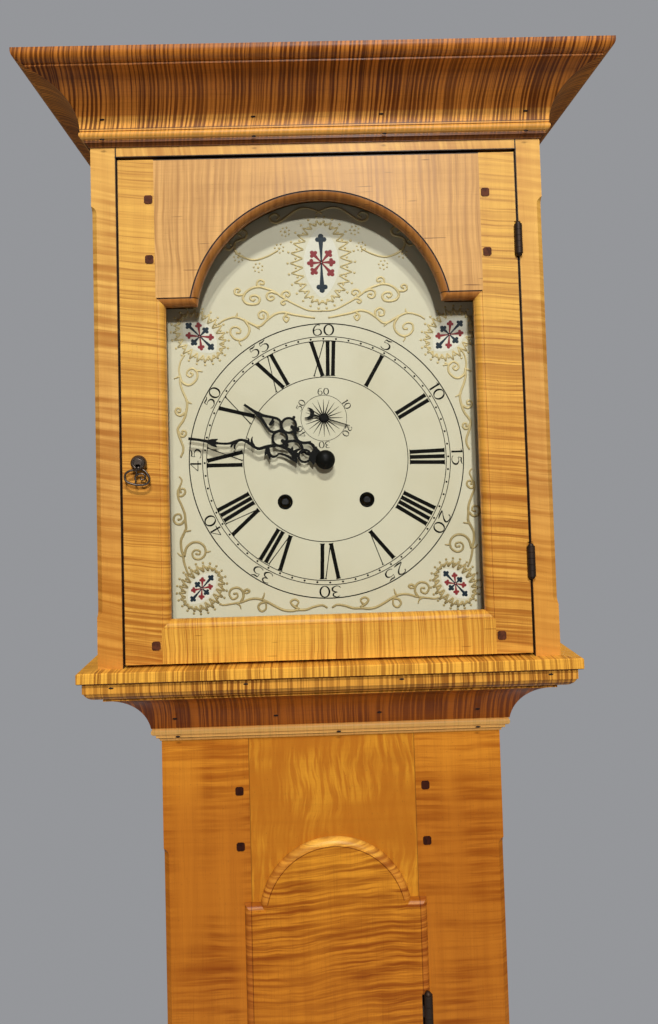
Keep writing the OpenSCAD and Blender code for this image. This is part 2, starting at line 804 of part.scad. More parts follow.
// Lipped door: a square board and a round head, both with the rounded lip, and a body in the opening
module trunk_door_panel() color(maple) {
  y_lip = y_trunk - lip_t;
  inset = trunk_door_w / 2 - trunk_body_x;
  half = trunk_door_w / 2;
  mid_z = (trunk_door_z + z_trunk_shoulder) / 2;
  half_z = (z_trunk_shoulder - trunk_door_z) / 2;
  difference() {
    union() {
      intersection() {
        translate([0, y_lip, trunk_door_z]) linear_extrude(2 * half_z) lip_section(half);
        translate([-half, y_lip, mid_z]) rotate([90, 0, 90]) linear_extrude(2 * half)
          mirror([1, -1]) lip_section(half_z);
      }
      translate([0, y_lip, z_trunk_arch]) rotate([-90, 0, 0]) rotate_extrude() intersection() {
        lip_section(trunk_arch_r);
        square(trunk_arch_r);
      }
      slab(y_trunk - lip_gap - 0.1, body_t + lip_gap) trunk_door_outline(inset);
    }
    for (z = trunk_hinges) {
      box([trunk_body_x, y_lip - 1, z - 0.6], [trunk_door_w, y_trunk + 1, z + trunk_hinge_h + 0.6]);
      translate([trunk_hinge_at[0], trunk_hinge_at[1], z - 3.8])
        cylinder(r = 3.6, h = trunk_hinge_h + 7.6);
    }
    bar(knob_at, y_lip - 1, lip_t + body_t + 2, 3 + shaft_fit);
  }
}

module trunk_door_hinges() color(iron) {
  leaf = [trunk_body_x, trunk_body_x + leaf_t];
  for (z = trunk_hinges)
    hinge_half(trunk_hinge_at, z, trunk_hinge_h, trunk_knuckle_r, 1.5 + shaft_fit, 5, [1, 3], leaf, 19);
}

// Turned knob with a tongue behind the door; the tongue hangs down when the door is free
module trunk_door_knob() color(walnut) {
  y_front = y_trunk - lip_t - 0.3;
  y_tongue = y_trunk + frame_t + 0.6;
  bar(knob_at, y_front - 3, y_tongue - y_front + 4, 3);
  translate([knob_at[0], y_front, knob_at[1]]) rotate([90, 0, 0]) rotate_extrude() {
    square([7, 1.6]);
    square([4.2, 9]);
    intersection() {
      translate([0, 13]) circle(8.5);
      square([9, 19]);
    }
  }
  box([knob_at[0] - 6, y_tongue, knob_at[1] - 26], [knob_at[0] + 6, y_tongue + 4, knob_at[1] + 6]);
}

// A toothed wheel's outline: straight-flanked teeth, slim enough to leave the backlash a clock has
module teeth(count, m, addendum = 0.9, dedendum = 1.25) {
  pitch = 360 / count;
  root_r = m * (count / 2 - dedendum);
  tip_r = m * (count / 2 + addendum);
  polygon([
    for (k = [0 : count - 1], side = [[root_r, -0.22], [tip_r, -0.07], [tip_r, 0.07], [root_r, 0.22]])
      side[0] * [cos((k + side[1]) * pitch), sin((k + side[1]) * pitch)]
  ]);
}

// A wheel crossed out to arms, with its front face at y and a tooth towards phase degrees
module wheel(at, y, t, count, m, phase, arms = 4) {
  rim_r = m * (count / 2 - 1.25) - 2.6;
  translate([at[0], y, at[1]]) rotate([90, 0, 0]) translate([0, 0, -t]) linear_extrude(t)
    rotate(phase) difference() {
      teeth(count, m);
      if (arms > 0) difference() {
        circle(rim_r);
        circle(max(4.5, rim_r * 0.3));
        for (k = [0 : arms - 1]) rotate(k * 360 / arms) translate([0, -1.5]) square([rim_r + 1, 3]);
      }
    }
}

// A pinion from y, l long, with a gap towards phase degrees
module pinion(at, y, l, count, m, phase) {
  translate([at[0], y, at[1]]) rotate([90, 0, 0]) translate([0, 0, -l]) linear_extrude(l)
    rotate(phase + 180 / count) teeth(count, m, 0.7, 1.2);
}

// Angle of the line from one arbor to another, in degrees
function towards(from, to) = atan2(to[1] - from[1], to[0] - from[0]);

// Moves a part of the movement to the dial's middle
module at_dial() {
  translate([dial_x, 0, z_dial]) children();
}

// An arbor between the plates with its two pivots
module arbor(at, r, pivot_r = 1) {
  bar(at, y_plate + plate_t + 0.4, plate_gap - 0.8, r);
  bar(at, y_plate, plate_gap + 2 * plate_t, pivot_r);
}

// Sheet dial with its arch, winding holes and four feet that stand on the front plate
module dial() color(enamel) {
  half = (sight_w + 10) / 2;
  feet = [[-52, -60], [52, -60], [-52, 62], [52, 62]];
  difference() {
    slab(y_dial, dial_t) {
      translate([dial_x - half, z_dial - half]) square(2 * half);
      translate([dial_x, z_arch]) circle(sight_r + 6);
    }
    at_dial() {
      bar([0, 0], y_dial - 1, 4, 6);
      bar([0, arm], y_dial - 1, 4, 2.4);
      for (side = [-1, 1]) bar([side * square_x, -square_x], y_dial - 1, 4, 5.6);
    }
  }
  at_dial() for (foot = feet) bar(foot, y_dial + dial_t, y_plate - y_dial - dial_t, 3);
}

// Two plates held apart by four turned pillars, drilled for every pivot
module movement_plates() color(brass) at_dial() {
  pillars = [[-20, plate_low + 8], [20, plate_low + 8], [-46, plate_top - 9], [46, plate_top - 9]];
  pivots = [inter_at, third_at, [0, arm], [0, pallet_z], pin_at, gather_at, fly_at, hammer_at];
  for (y = [y_plate, y_rear]) difference() {
    translate([-plate_w / 2, y, plate_low]) cube([plate_w, plate_t, plate_top - plate_low]);
    for (at = pivots) bar(at, y - 1, plate_t + 2, 1 + shaft_fit);
    bar([0, 0], y - 1, plate_t + 2, 2.5 + shaft_fit);
    for (side = [-1, 1]) bar([side * square_x, -square_x], y - 1, plate_t + 2, 3.2 + shaft_fit);
    if (y > y_plate) bar([0, pallet_z], y - 1, plate_t + 2, 2.6);
  }
  for (at = pillars) {
    bar(at, y_plate + plate_t, plate_gap, 4);
    bar(at, y_plate + plate_t + plate_gap / 2 - 4, 8, 5.5);
    for (end = [y_plate + plate_t, y_rear - 4]) bar(at, end, 4, 5.5);
  }
  bar(minute_wheel_at, y_dial + dial_t + 8, y_plate + 1 - y_dial - dial_t - 8, 0.8);
}

// Cock on the back plate that holds the anchor's rear pivot and the pendulum's suspension
module back_cock() color(brass) at_dial() {
  y = y_rear + plate_t;
  reach = y_pendulum - y + 8;
  difference() {
    union() {
      for (side = [-1, 1]) translate([side * 22 - 5, y, pallet_z - 8]) cube([10, 14, 16]);
      translate([-27, y + 14, pallet_z - 8]) cube([54, 4, 16]);
      translate([-6, y + 14, pallet_z + 1]) cube([12, reach - 14, 7]);
      translate([-4, y_pendulum - 3.6, pallet_z + 7.9]) cube([8, 7.2, 4]);
      for (side = [-1, 1]) bar([side * 22, pallet_z], y + 18, 2.5, 3.5);
    }
    translate([-0.6, y_pendulum - 4, pallet_z - 1]) cube([1.2, 8, 6]);
    bar([0, pallet_z], y + 13, 6, 1 + shaft_fit);
  }
}

// Bell over the movement on a bent stand
module bell() color(brass) at_dial() {
  bell_r = 42;
  rim_z = plate_top + 12;
  y_mid = y_plate + 33;
  translate([0, y_mid, rim_z]) rotate_extrude() difference() {
    intersection() {
      translate([0, 2]) circle(bell_r);
      square([bell_r + 2, bell_r + 4]);
    }
    translate([0, 0]) circle(bell_r - 2.6);
    translate([-5, -1]) square([5, bell_r + 8]);
  }
  translate([0, y_mid, rim_z + bell_r + 1.5]) cylinder(r = 5, h = 6);
  translate([-4, y_mid - 4, rim_z + bell_r + 7.5]) cube([8, y_rear + plate_t + 8 - y_mid, 4]);
  translate([-4, y_rear + plate_t, pallet_z + 10]) cube([8, 4, rim_z + bell_r + 11.5 - pallet_z - 10]);
}

// Centre arbor with its wheel, its pinion and the cannon pipe that carries the minute hand
module centre_wheel() color(brass) at_dial() {
  arbor([0, 0], 2.7, 2.5);
  bar([0, 0], y_plate - 4, 4, 2.5);
  wheel([0, 0], y_plate + 36, 2, 60, 0.64, towards([0, 0], third_at), 5);
  pinion([0, 0], y_plate + 5, 6, 20, 0.8, towards([0, 0], inter_at));
  bar([0, 0], y_hands, y_plate - 3 - y_hands, 3);
  wheel([0, 0], y_plate - 5, 1.6, 40, 0.6, towards([0, 0], minute_wheel_at), 0);
}

// Hands are drawn pointing up and turned clockwise by their angle
module hand_plane(y, t, angle) {
  translate([0, y, 0]) rotate([0, angle, 0]) slab(0, t) children();
}

// A tapering pointer from z0 to z1
module pointer(z0, z1, w0, w1) {
  polygon([[-w0 / 2, z0], [w0 / 2, z0], [w1 / 2, z1], [-w1 / 2, z1]]);
}

// A ring drawn flat
module ring(at, r, w) {
  translate(at) difference() {
    circle(r);
    circle(r - w);
  }
}

// A round lobe of a hand
module lobe(at, r) {
  translate(at) circle(r);
}

// Place at t on the smooth curve between the points i and i + 1 of a path
function on_curve(p, i, t) =
  let (a = p[max(i - 1, 0)], b = p[i], c = p[i + 1], d = p[min(i + 2, len(p) - 1)])
    0.5 * (2 * b + (c - a) * t + (2 * a - 5 * b + 4 * c - d) * t * t + (3 * b - a - 3 * c + d) * t * t * t);

// Blade along a smooth curve through points that give its place across and up, and its width
module blade(path) {
  last = 3 * (len(path) - 1);
  line = [for (i = [0 : last]) i == last ? path[len(path) - 1] : on_curve(path, floor(i / 3), (i % 3) / 3)];
  side = [
    for (i = [0 : last])
      let (run = line[min(i + 1, last)] - line[max(i - 1, 0)])
        [-run[1], run[0]] * line[i][2] * hand_weight / 2 / norm([run[0], run[1]])
  ];
  polygon(concat(
    [for (i = [0 : last]) [line[i][0], line[i][1]] + side[i]],
    [for (i = [last : -1 : 0]) [line[i][0], line[i][1]] - side[i]]
  ));
}

// Winding stem of the minute hand with its thorns and leaves, over the ring at the boss
module minute_blade() {
  circle(8.5);
  ring([0.5, 20.2], 7, 2.3);
  blade([[0.8, 16, 4.5], [0.6, 6, 9]]);
  blade([[0, 134, 2.2], [0.4, 124.6, 2], [0.2, 116.5, 2.4], [0, 110.5, 3.6], [0, 105, 1.8], [0.4, 99.7, 1.7],
    [1.6, 93.9, 1.8], [5.8, 85.9, 2], [6.6, 81.7, 2], [5.4, 76.5, 2.5], [1.6, 69.5, 2.1], [0.8, 64.7, 2.3]]);
  blade([[1, 67, 2.1], [0.8, 64.7, 2.3], [4.7, 55.6, 2.6], [6.6, 46.4, 2], [4.4, 37.2, 2.8], [0, 30.4, 4.4],
    [-7.7, 27, 0.8]]);
  blade([[0.4, 116.5, 1], [1.5, 110.7, 2.8], [3.9, 105.8, 0.6]]);
  blade([[-0.1, 116.4, 1], [-1.8, 110.2, 2.8], [-3.9, 105.5, 0.6]]);
  blade([[3.4, 90.4, 2.6], [0.1, 91.6, 1.8], [-2.5, 92.1, 0.5]]);
  blade([[5.2, 86.4, 1.8], [1.7, 88.3, 1.6], [-1.3, 88.7, 1.4], [-3.4, 87.4, 0.6]]);
  blade([[5.2, 77, 2.2], [7.7, 76.3, 1.5], [9.6, 77.6, 0.5]]);
  blade([[11.4, 73, 0.5], [8.5, 73.4, 1.4], [5.2, 72.4, 1.8], [2.6, 70, 2]]);
  blade([[4, 57.3, 3], [-0.6, 56.1, 3.4], [-3.6, 53.6, 2.6], [-4.8, 50.5, 1.9], [-3.5, 47.3, 1.6], [-0.8, 45.3, 1]]);
  blade([[1.3, 57.3, 2.4], [-2, 57.8, 2.2], [-4.9, 58.4, 0.5]]);
  blade([[-1, 55, 2.4], [-4.4, 54.1, 2], [-8.2, 52.8, 0.5]]);
  blade([[-1.2, 46.6, 0.9], [-0.9, 43.5, 1.5], [-1.6, 38.6, 1.8], [-3.2, 33.6, 2.1], [-5, 28.4, 2.6]]);
  blade([[2.4, 33.4, 2.8], [5.6, 33.3, 2], [8, 33.4, 0.5]]);
  blade([[0.6, 31.6, 3.4], [4, 29.4, 2.6], [7.1, 25.1, 0.8]]);
  blade([[0.6, 31, 4], [0.5, 26, 3]]);
  blade([[4.8, 24.9, 2.2], [1.9, 23.2, 0.5]]);
  blade([[5.6, 16.4, 2.2], [2.6, 18.8, 0.5]]);
  blade([[3, 13, 4.4], [7.9, 11.3, 2.2], [11.4, 9.9, 0.6]]);
  blade([[-1.5, 12.4, 4.4], [-4.4, 11.1, 2.4], [-6.5, 10.4, 0.6]]);
}

// Half of the hour hand, which is the same on both sides of its point
module hour_blade_half() {
  blade([[0.4, 79, 2.8], [1.7, 74, 2.3], [3.8, 69, 2.1], [5.7, 64.5, 2], [6.9, 60.4, 2], [6.1, 56.8, 2], [3.4, 54, 2.1],
    [-0.4, 51, 2.4]]);
  ring([7.7, 48.2], 8.3, 2.4);
  blade([[14.6, 48.3, 1.4], [17, 48.4, 1.2]]);
  lobe([17, 48.4], 1.5);
  lobe([8.2, 44.6], 1.8);
  lobe([8.3, 41.8], 2.6);
  lobe([9.4, 39], 2);
  blade([[7.8, 41.6, 3], [4.2, 38.3, 2], [1.5, 34.6, 2], [0.3, 31, 2.2], [1.7, 26.7, 2.2], [4.5, 23.3, 1.9], [7.3, 21.5, 0.6]]);
  blade([[4.4, 23.6, 2], [5.2, 19, 2.1], [3.6, 14.5, 2.8], [1.5, 7, 4]]);
}

module minute_hand() color(iron) at_dial() {
  difference() {
    hand_plane(y_hands, 1.2, minute_angle) minute_blade();
    bar([0, 0], y_hands - 1, 4, 3);
  }
  translate([0, y_hands, 0]) rotate([90, 0, 0]) rotate_extrude() intersection() {
    translate([0, -6]) circle(11.2);
    square([9.5, 6]);
  }
}

module hour_hand() color(iron) at_dial() {
  difference() {
    hand_plane(y_hands + 4.6, 1.2, hour_angle) {
      circle(8.5);
      blade([[0, 95.6, 1.9], [0, 88, 2], [0, 82, 2.6], [0, 77.5, 4.2]]);
      for (side = [0, 1]) mirror([side, 0]) hour_blade_half();
      blade([[-2.9, 64.4, 0.8], [-1.4, 63.6, 2.4], [0.9, 63.4, 2.4], [3.4, 64.2, 1.6], [5.8, 65, 1.2]]);
      lobe([-1.4, 63.3], 1.4);
      lobe([2.2, 62.8], 1.4);
    }
    bar([0, 0], y_hands, 8, 4.5 + shaft_fit);
  }
}

// Hour wheel on its pipe over the cannon, with the stepped snail of the striking
module hour_wheel() color(brass) at_dial() {
  m = 24 / 39;
  y = y_plate - 8.5;
  difference() {
    union() {
      wheel([0, 0], y, 1.6, 72, m, towards([0, 0], minute_wheel_at), 6);
      bar([0, 0], y_hands + 4.6, y + 1.6 - y_hands - 4.6, 4.5);
      slab(y - 2.5, 1.6) for (k = [0 : 11]) rotate(k * 30) intersection() {
        circle(7 + k);
        polygon([[0, 0], [40, 0], [40 * cos(30), 40 * sin(30)]]);
      }
    }
    bar([0, 0], y_hands, 60, 3 + shaft_fit);
  }
}

module minute_wheel() color(brass) at_dial() {
  m = 24 / 39;
  difference() {
    union() {
      wheel(minute_wheel_at, y_plate - 5, 1.6, 40, 0.6, towards(minute_wheel_at, [0, 0]) + 4.5, 0);
      pinion(minute_wheel_at, y_plate - 9.5, 5, 6, m, towards(minute_wheel_at, [0, 0]));
    }
    bar(minute_wheel_at, y_plate - 12, 12, 0.8 + shaft_fit);
  }
}

module intermediate_wheel() color(brass) at_dial() {
  arbor(inter_at, 1.5);
  wheel(inter_at, y_plate + 7, 2, 36, 0.8, towards(inter_at, [0, 0]));
  pinion(inter_at, y_plate + 50, 10, 10, 0.8, towards(inter_at, [square_x, -square_x]));
}

module third_wheel() color(brass) at_dial() {
  arbor(third_at, 1.5);
  wheel(third_at, y_plate + 20, 1.6, 56, 0.65, towards(third_at, [0, arm]));
  pinion(third_at, y_plate + 33, 8, 8, 0.64, towards(third_at, [0, 0]));
}

// Escape wheel: thirty long leaning teeth
module escape_wheel() color(brass) at_dial() {
  count = 30;
  tip_r = 17;
  root_r = 13.6;
  arbor([0, arm], 1.5);
  bar([0, arm], y_dial - 3.2, y_plate + 1 - y_dial + 3.2, 1);
  translate([0, y_plate + 50, arm]) rotate([90, 0, 0]) translate([0, 0, -1.6]) linear_extrude(1.6)
    difference() {
      polygon([
        for (k = [0 : count - 1], p = [[root_r, 0], [tip_r, 6], [tip_r, 7], [root_r, 5]])
          p[0] * [cos(k * 360 / count + p[1]), sin(k * 360 / count + p[1])]
      ]);
      difference() {
        circle(11.2);
        circle(4);
        for (k = [0 : 3]) rotate(k * 90) translate([0, -1]) square([12, 2]);
      }
    }
  pinion([0, arm], y_plate + 17, 8, 7, 0.65, towards([0, arm], third_at));
}

module seconds_hand() color(iron) at_dial() {
  translate([0, 0, arm]) difference() {
    hand_plane(y_dial - 2.6, 0.6, seconds_angle) {
      circle(3.4);
      pointer(-13, 26.5, 2, 0.6);
      difference() {
        translate([0, -15.6]) circle(5.6);
        translate([0, -18.6]) circle(4.7);
      }
    }
    bar([0, 0], y_dial - 4, 4, 1);
  }
  difference() {
    bar([0, arm], y_dial - 3.4, 2.2, 2.2);
    bar([0, arm], y_dial - 3.2, 4, 1);
  }
}

module going_great_wheel() color(brass) at_dial() difference() {
  union() {
    wheel([square_x, -square_x], y_plate + 54, 3, 80, 0.8, towards([square_x, -square_x], inter_at), 0);
    bar([square_x, -square_x], y_plate + 57, 2, 8);
  }
  bar([square_x, -square_x], y_plate + 50, 12, 4 + shaft_fit);
}

module strike_great_wheel() color(brass) at_dial() difference() {
  union() {
    wheel([-square_x, -square_x], y_plate + 54, 3, 84, strike_great_m,
          towards([-square_x, -square_x], pin_at), 0);
    bar([-square_x, -square_x], y_plate + 57, 2, 8);
  }
  bar([-square_x, -square_x], y_plate + 50, 12, 4 + shaft_fit);
}

// Grooved drum with a flange and a ratchet, on the arbor that ends in the winding square
module line_barrel(side) at_dial() {
  at = [side * square_x, -square_x];
  low = y_plate + 12;
  groove = 2.4;
  bar(at, y_plate, plate_gap + 2 * plate_t, 3.2);
  bar(at, y_plate + plate_t + 0.4, plate_gap - 0.8, 4);
  bar(at, y_dial - 0.5, y_plate - y_dial + 1.5, 3.2);
  translate([at[0] - 2.2, y_dial - 3.5, at[1] - 2.2]) cube([4.4, 8, 4.4]);
  translate([at[0], low, at[1]]) rotate([-90, 0, 0]) {
    rotate_extrude() difference() {
      square([drum_r, 36]);
      for (k = [0 : 12]) translate([drum_r, 3.4 + k * groove]) circle(0.8);
      translate([-0.01, -1]) square([3, 38]);
    }
    cylinder(r = drum_r + 3, h = 1.6);
    translate([0, 0, 36]) linear_extrude(3) ratchet(24, drum_r - 1);
  }
}

// Ratchet teeth of the click
module ratchet(count, r) {
  polygon([for (k = [0 : count - 1], p = [[r, 0], [r - 2.4, 1]])
    p[0] * [cos((k + p[1] * 0.04) * 360 / count), sin((k + p[1] * 0.04) * 360 / count)]]);
}

module going_barrel() color(brass) {
  line_barrel(1);
}

module strike_barrel() color(brass) {
  line_barrel(-1);
}

// Recoil anchor over the escape wheel, its arbor, and the crutch behind the back plate
module anchor() color(steel) at_dial() {
  span = 41;
  tip_r = 17.9;
  bar([0, pallet_z], y_plate + plate_t + 0.4, y_rear - y_plate - plate_t + 14, 2);
  bar([0, pallet_z], y_plate, y_rear - y_plate + plate_t + 18, 1);
  slab(y_plate + 48.6, 4.4) difference() {
    union() {
      translate([0, arm]) intersection() {
        difference() {
          circle(24);
          circle(20);
        }
        polygon([[0, 0], 40 * [sin(-span), cos(span)], [0, 60], 40 * [sin(span), cos(span)]]);
      }
      for (side = [-1, 1]) translate([0, arm]) rotate(-side * (span - 4))
        translate([-1.8, tip_r]) square([3.6, 5]);
      translate([-4, pallet_z - 4]) square([8, 6]);
      translate([0, pallet_z]) circle(5);
    }
  }
  translate([-3, y_rear + plate_t + 4, pallet_z - 100]) cube([6, 1.6, 101]);
  for (side = [-1, 1]) translate([side * 4.5 - 1.5, y_rear + plate_t + 4, pallet_z - 100])
    cube([3, y_pendulum + 4 - y_rear - plate_t - 4, 5]);
  translate([-6, y_rear + plate_t + 4, pallet_z - 100]) cube([12, 2, 5]);
}

// Suspension spring, rod and the rating nut below the bob
module pendulum_rod() color(steel) at_dial() {
  bob_z = pallet_z - pendulum_l;
  bob_half = bob_d / 2;
  translate([-3, y_pendulum - 2.5, pallet_z - 42]) cube([6, 5, 12]);
  translate([-0.3, y_pendulum - 3, pallet_z - 32]) cube([0.6, 6, 34]);
  translate([0, y_pendulum, bob_z - bob_half - 26]) cylinder(r = 2.5, h = pendulum_l + bob_half - 10);
  translate([0, y_pendulum, bob_z - bob_half - 9]) cylinder(r = 8, h = 7, $fn = 6);
}

// Lens-shaped bob with a bore for the rod
module pendulum_bob() color(brass) at_dial() {
  bulge = 13;
  lens_r = (bob_d * bob_d / 4 + bulge * bulge) / (2 * bulge);
  translate([0, y_pendulum, pallet_z - pendulum_l]) difference() {
    rotate([90, 0, 0]) rotate_extrude() intersection() {
      translate([0, bulge - lens_r]) circle(lens_r, $fn = 240);
      translate([0, lens_r - bulge]) circle(lens_r, $fn = 240);
      translate([0, -bulge]) square([bob_d / 2 - 1, 2 * bulge]);
    }
    translate([0, 0, -bob_d]) cylinder(r = 2.55, h = 2 * bob_d);
  }
}

// Turned weight with a domed foot and a hook
module weight(side) at_dial() translate([side * line_x, line_y, weight_low - z_dial]) {
  r = 27;
  rotate_extrude() {
    translate([0, 4]) square([r, weight_h - 16]);
    translate([0, 0]) square([r - 3, 4]);
    translate([0, weight_h - 12]) square([r - 4, 4]);
    square([4, weight_h]);
  }
  translate([0, 0, weight_h + 6]) rotate([90, 0, 0]) translate([0, 0, -1.5]) linear_extrude(3)
    ring([0, 0], 8, 3);
}

module going_weight() color(iron) {
  weight(1);
}

module strike_weight() color(iron) {
  weight(-1);
}

// Line from the drum's side down to the weight's hook
module weight_line(side) at_dial() {
  low = weight_low + weight_h + 14 - z_dial;
  translate([side * line_x, line_y, low]) cylinder(r = 0.75, h = -square_x - low);
}

module going_line() color(brass) {
  weight_line(1);
}

module strike_line() color(brass) {
  weight_line(-1);
}

// Pin wheel: eight pins lift the hammer
module pin_wheel() color(brass) at_dial() {
  arbor(pin_at, 1.5);
  wheel(pin_at, y_plate + 7, 2, 64, 0.65, towards(pin_at, gather_at));
  pinion(pin_at, y_plate + 50, 10, 7, strike_great_m, towards(pin_at, [-square_x, -square_x]));
  for (k = [0 : 7]) bar(pin_at + 16.6 * [cos(k * 45 + 12), sin(k * 45 + 12)], y_plate + 8.9, 2.4, 0.9);
}

module gathering_wheel() color(brass) at_dial() {
  arbor(gather_at, 1.5);
  bar(gather_at, y_plate - 6, 8, 1);
  wheel(gather_at, y_plate + 28, 1.6, 56, 0.6, towards(gather_at, fly_at));
  pinion(gather_at, y_plate + 4, 8, 8, 0.65, towards(gather_at, pin_at));
  bar(gather_at, y_plate - 6, 3, 3);
  translate([gather_at[0] - 1.5, y_plate - 6, gather_at[1]]) cube([3, 3, 9]);
}

// Fly: two vanes on a quick arbor steady the striking
module fly() color(brass) at_dial() {
  arbor(fly_at, 1.2);
  pinion(fly_at, y_plate + 25, 6.6, 7, 0.6, towards(fly_at, gather_at));
  translate([fly_at[0] - 12.4, y_plate + 33, fly_at[1] - 0.4]) cube([24.8, 24, 0.8]);
  bar(fly_at, y_plate + 33, 24, 2.2);
}

// Hammer on its arbor: the tail reaches the pins and the head stands beside the bell's rim
module hammer() color(steel) at_dial() {
  y_tail = y_plate + 9.5;
  y_head = y_plate + 33;
  rim_z = plate_top + 12;
  arbor(hammer_at, 2);
  translate([hammer_at[0] - 1.2, y_tail, hammer_at[1] - 27]) cube([2.4, 2.4, 27]);
  translate([hammer_at[0] - 1.5, y_head - 1.5, hammer_at[1]]) cube([3, 3, rim_z + 4 - hammer_at[1]]);
  translate([-43.6, y_head, rim_z + 4]) rotate([0, -90, 0]) cylinder(r = 5, h = 21);
}

back_board();
trunk_sides();
trunk_stiles();
trunk_rails();
trunk_pegs();
waist_moulding();
base_boards();
base_mouldings();
bracket_feet();
seat_board();
trunk_hinge_leaves();
dial();
movement_plates();
back_cock();
bell();
hood_sides();
hood_front_frame();
hood_top_board();
hood_base_frame();
cornice_front();
cornice_returns();
hood_mask();
hood_hinge_leaves();
hood_door_stiles();
hood_door_top_rail();
hood_door_bottom_rail();
hood_door_glass();
hood_door_pegs();
hood_door_hinges();
hood_door_lock();
hood_door_key();
key_bow();
hood_lock_bolt();
trunk_door_panel();
trunk_door_hinges();
trunk_door_knob();
centre_wheel();
minute_hand();
hour_wheel();
hour_hand();
minute_wheel();
intermediate_wheel();
third_wheel();
escape_wheel();
seconds_hand();
going_great_wheel();
going_barrel();
anchor();
pendulum_rod();
pendulum_bob();
going_weight();
going_line();
strike_great_wheel();
strike_barrel();
pin_wheel();
gathering_wheel();
fly();
hammer();
strike_weight();
strike_line();
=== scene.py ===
import bmesh
import bpy
import numpy as np
from mathutils import Matrix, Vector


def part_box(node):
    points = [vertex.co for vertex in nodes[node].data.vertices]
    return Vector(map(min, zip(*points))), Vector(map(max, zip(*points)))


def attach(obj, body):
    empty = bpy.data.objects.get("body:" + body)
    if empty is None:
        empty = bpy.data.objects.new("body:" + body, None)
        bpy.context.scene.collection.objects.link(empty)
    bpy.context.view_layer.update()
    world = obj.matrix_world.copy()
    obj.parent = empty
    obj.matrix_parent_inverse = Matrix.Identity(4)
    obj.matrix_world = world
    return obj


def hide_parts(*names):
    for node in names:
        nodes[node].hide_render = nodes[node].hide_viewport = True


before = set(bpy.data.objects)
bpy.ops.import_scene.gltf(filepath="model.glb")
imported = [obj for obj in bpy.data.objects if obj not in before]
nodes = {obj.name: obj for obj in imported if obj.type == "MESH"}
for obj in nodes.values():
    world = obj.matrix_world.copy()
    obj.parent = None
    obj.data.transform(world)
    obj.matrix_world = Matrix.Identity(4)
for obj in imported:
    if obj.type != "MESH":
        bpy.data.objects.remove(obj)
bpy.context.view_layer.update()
scene = bpy.context.scene
print("frame loaded:", len(nodes), "nodes")

# camera: the photograph's own view, worked out from the edges of the hood, door and trunk
cameraLook = {
    "place": (-0.02083, -0.92107, 1.75388),
    "pitch": -0.05209,
    "yaw": 0.01696,
    "roll": -0.02779,
    "focal": 880.0,  # in pixels of the 658 x 1024 picture
    "middle": (316.23, 418.86),  # where the lens axis meets the picture
}


def turnX(a):
    return np.array([[1, 0, 0], [0, np.cos(a), -np.sin(a)], [0, np.sin(a), np.cos(a)]])


def turnY(a):
    return np.array([[np.cos(a), 0, np.sin(a)], [0, 1, 0], [-np.sin(a), 0, np.cos(a)]])


def turnZ(a):
    return np.array([[np.cos(a), -np.sin(a), 0], [np.sin(a), np.cos(a), 0], [0, 0, 1]])


def standing(right, up, back, place):  # where a camera or lamp stands, and how it is turned
    return Matrix([[right[i], up[i], back[i], place[i]] for i in range(3)] + [[0, 0, 0, 1]])


def addCamera(look):
    rows = turnY(look["roll"]) @ turnX(look["pitch"]) @ turnZ(look["yaw"])  # right, forward, up
    camera = bpy.data.objects.new("photoCamera", bpy.data.cameras.new("photoCamera"))
    camera.data.sensor_width = 36
    camera.data.lens = 36 * look["focal"] / 1024
    camera.data.shift_x = (329 - look["middle"][0]) / 1024
    camera.data.shift_y = (look["middle"][1] - 512) / 1024
    camera.data.clip_start = 0.02
    camera.matrix_world = standing(rows[0], rows[2], -rows[1], look["place"])
    scene.collection.objects.link(camera)
    scene.camera = camera


addCamera(cameraLook)

# studio: a pale floor, a plain grey surround, three lamps far in front, soft lights at the sides and back
studioLook = {
    "surround": (0.300, 0.306, 0.322),  # as the camera sees it
    "surroundLight": (0.078, 0.071, 0.062),  # as it lights the clock
    "floor": (0.62, 0.62, 0.62),
    "lights": [  # name, place, aimed at, width, height, watts
        ("highLeft", (-0.28, -6.23, 7.75), (0.0, -0.06, 1.7), 0.34, 0.34, 252),
        ("highRight", (0.62, -6.17, 7.70), (0.0, -0.06, 1.7), 0.34, 0.34, 256),
        ("lowFront", (0.60, -7.56, 4.60), (0.0, -0.06, 1.7), 0.42, 0.42, 316),
        ("leftFill", (-3.2, -0.6, 2.6), (0.0, 0.0, 1.3), 1.8, 1.8, 12),
        ("rightFill", (3.2, -0.6, 2.6), (0.0, 0.0, 1.3), 1.8, 1.8, 12),
        ("backFill", (0.6, 3.2, 2.9), (0.0, 0.0, 1.2), 1.8, 1.8, 38),
    ],
}


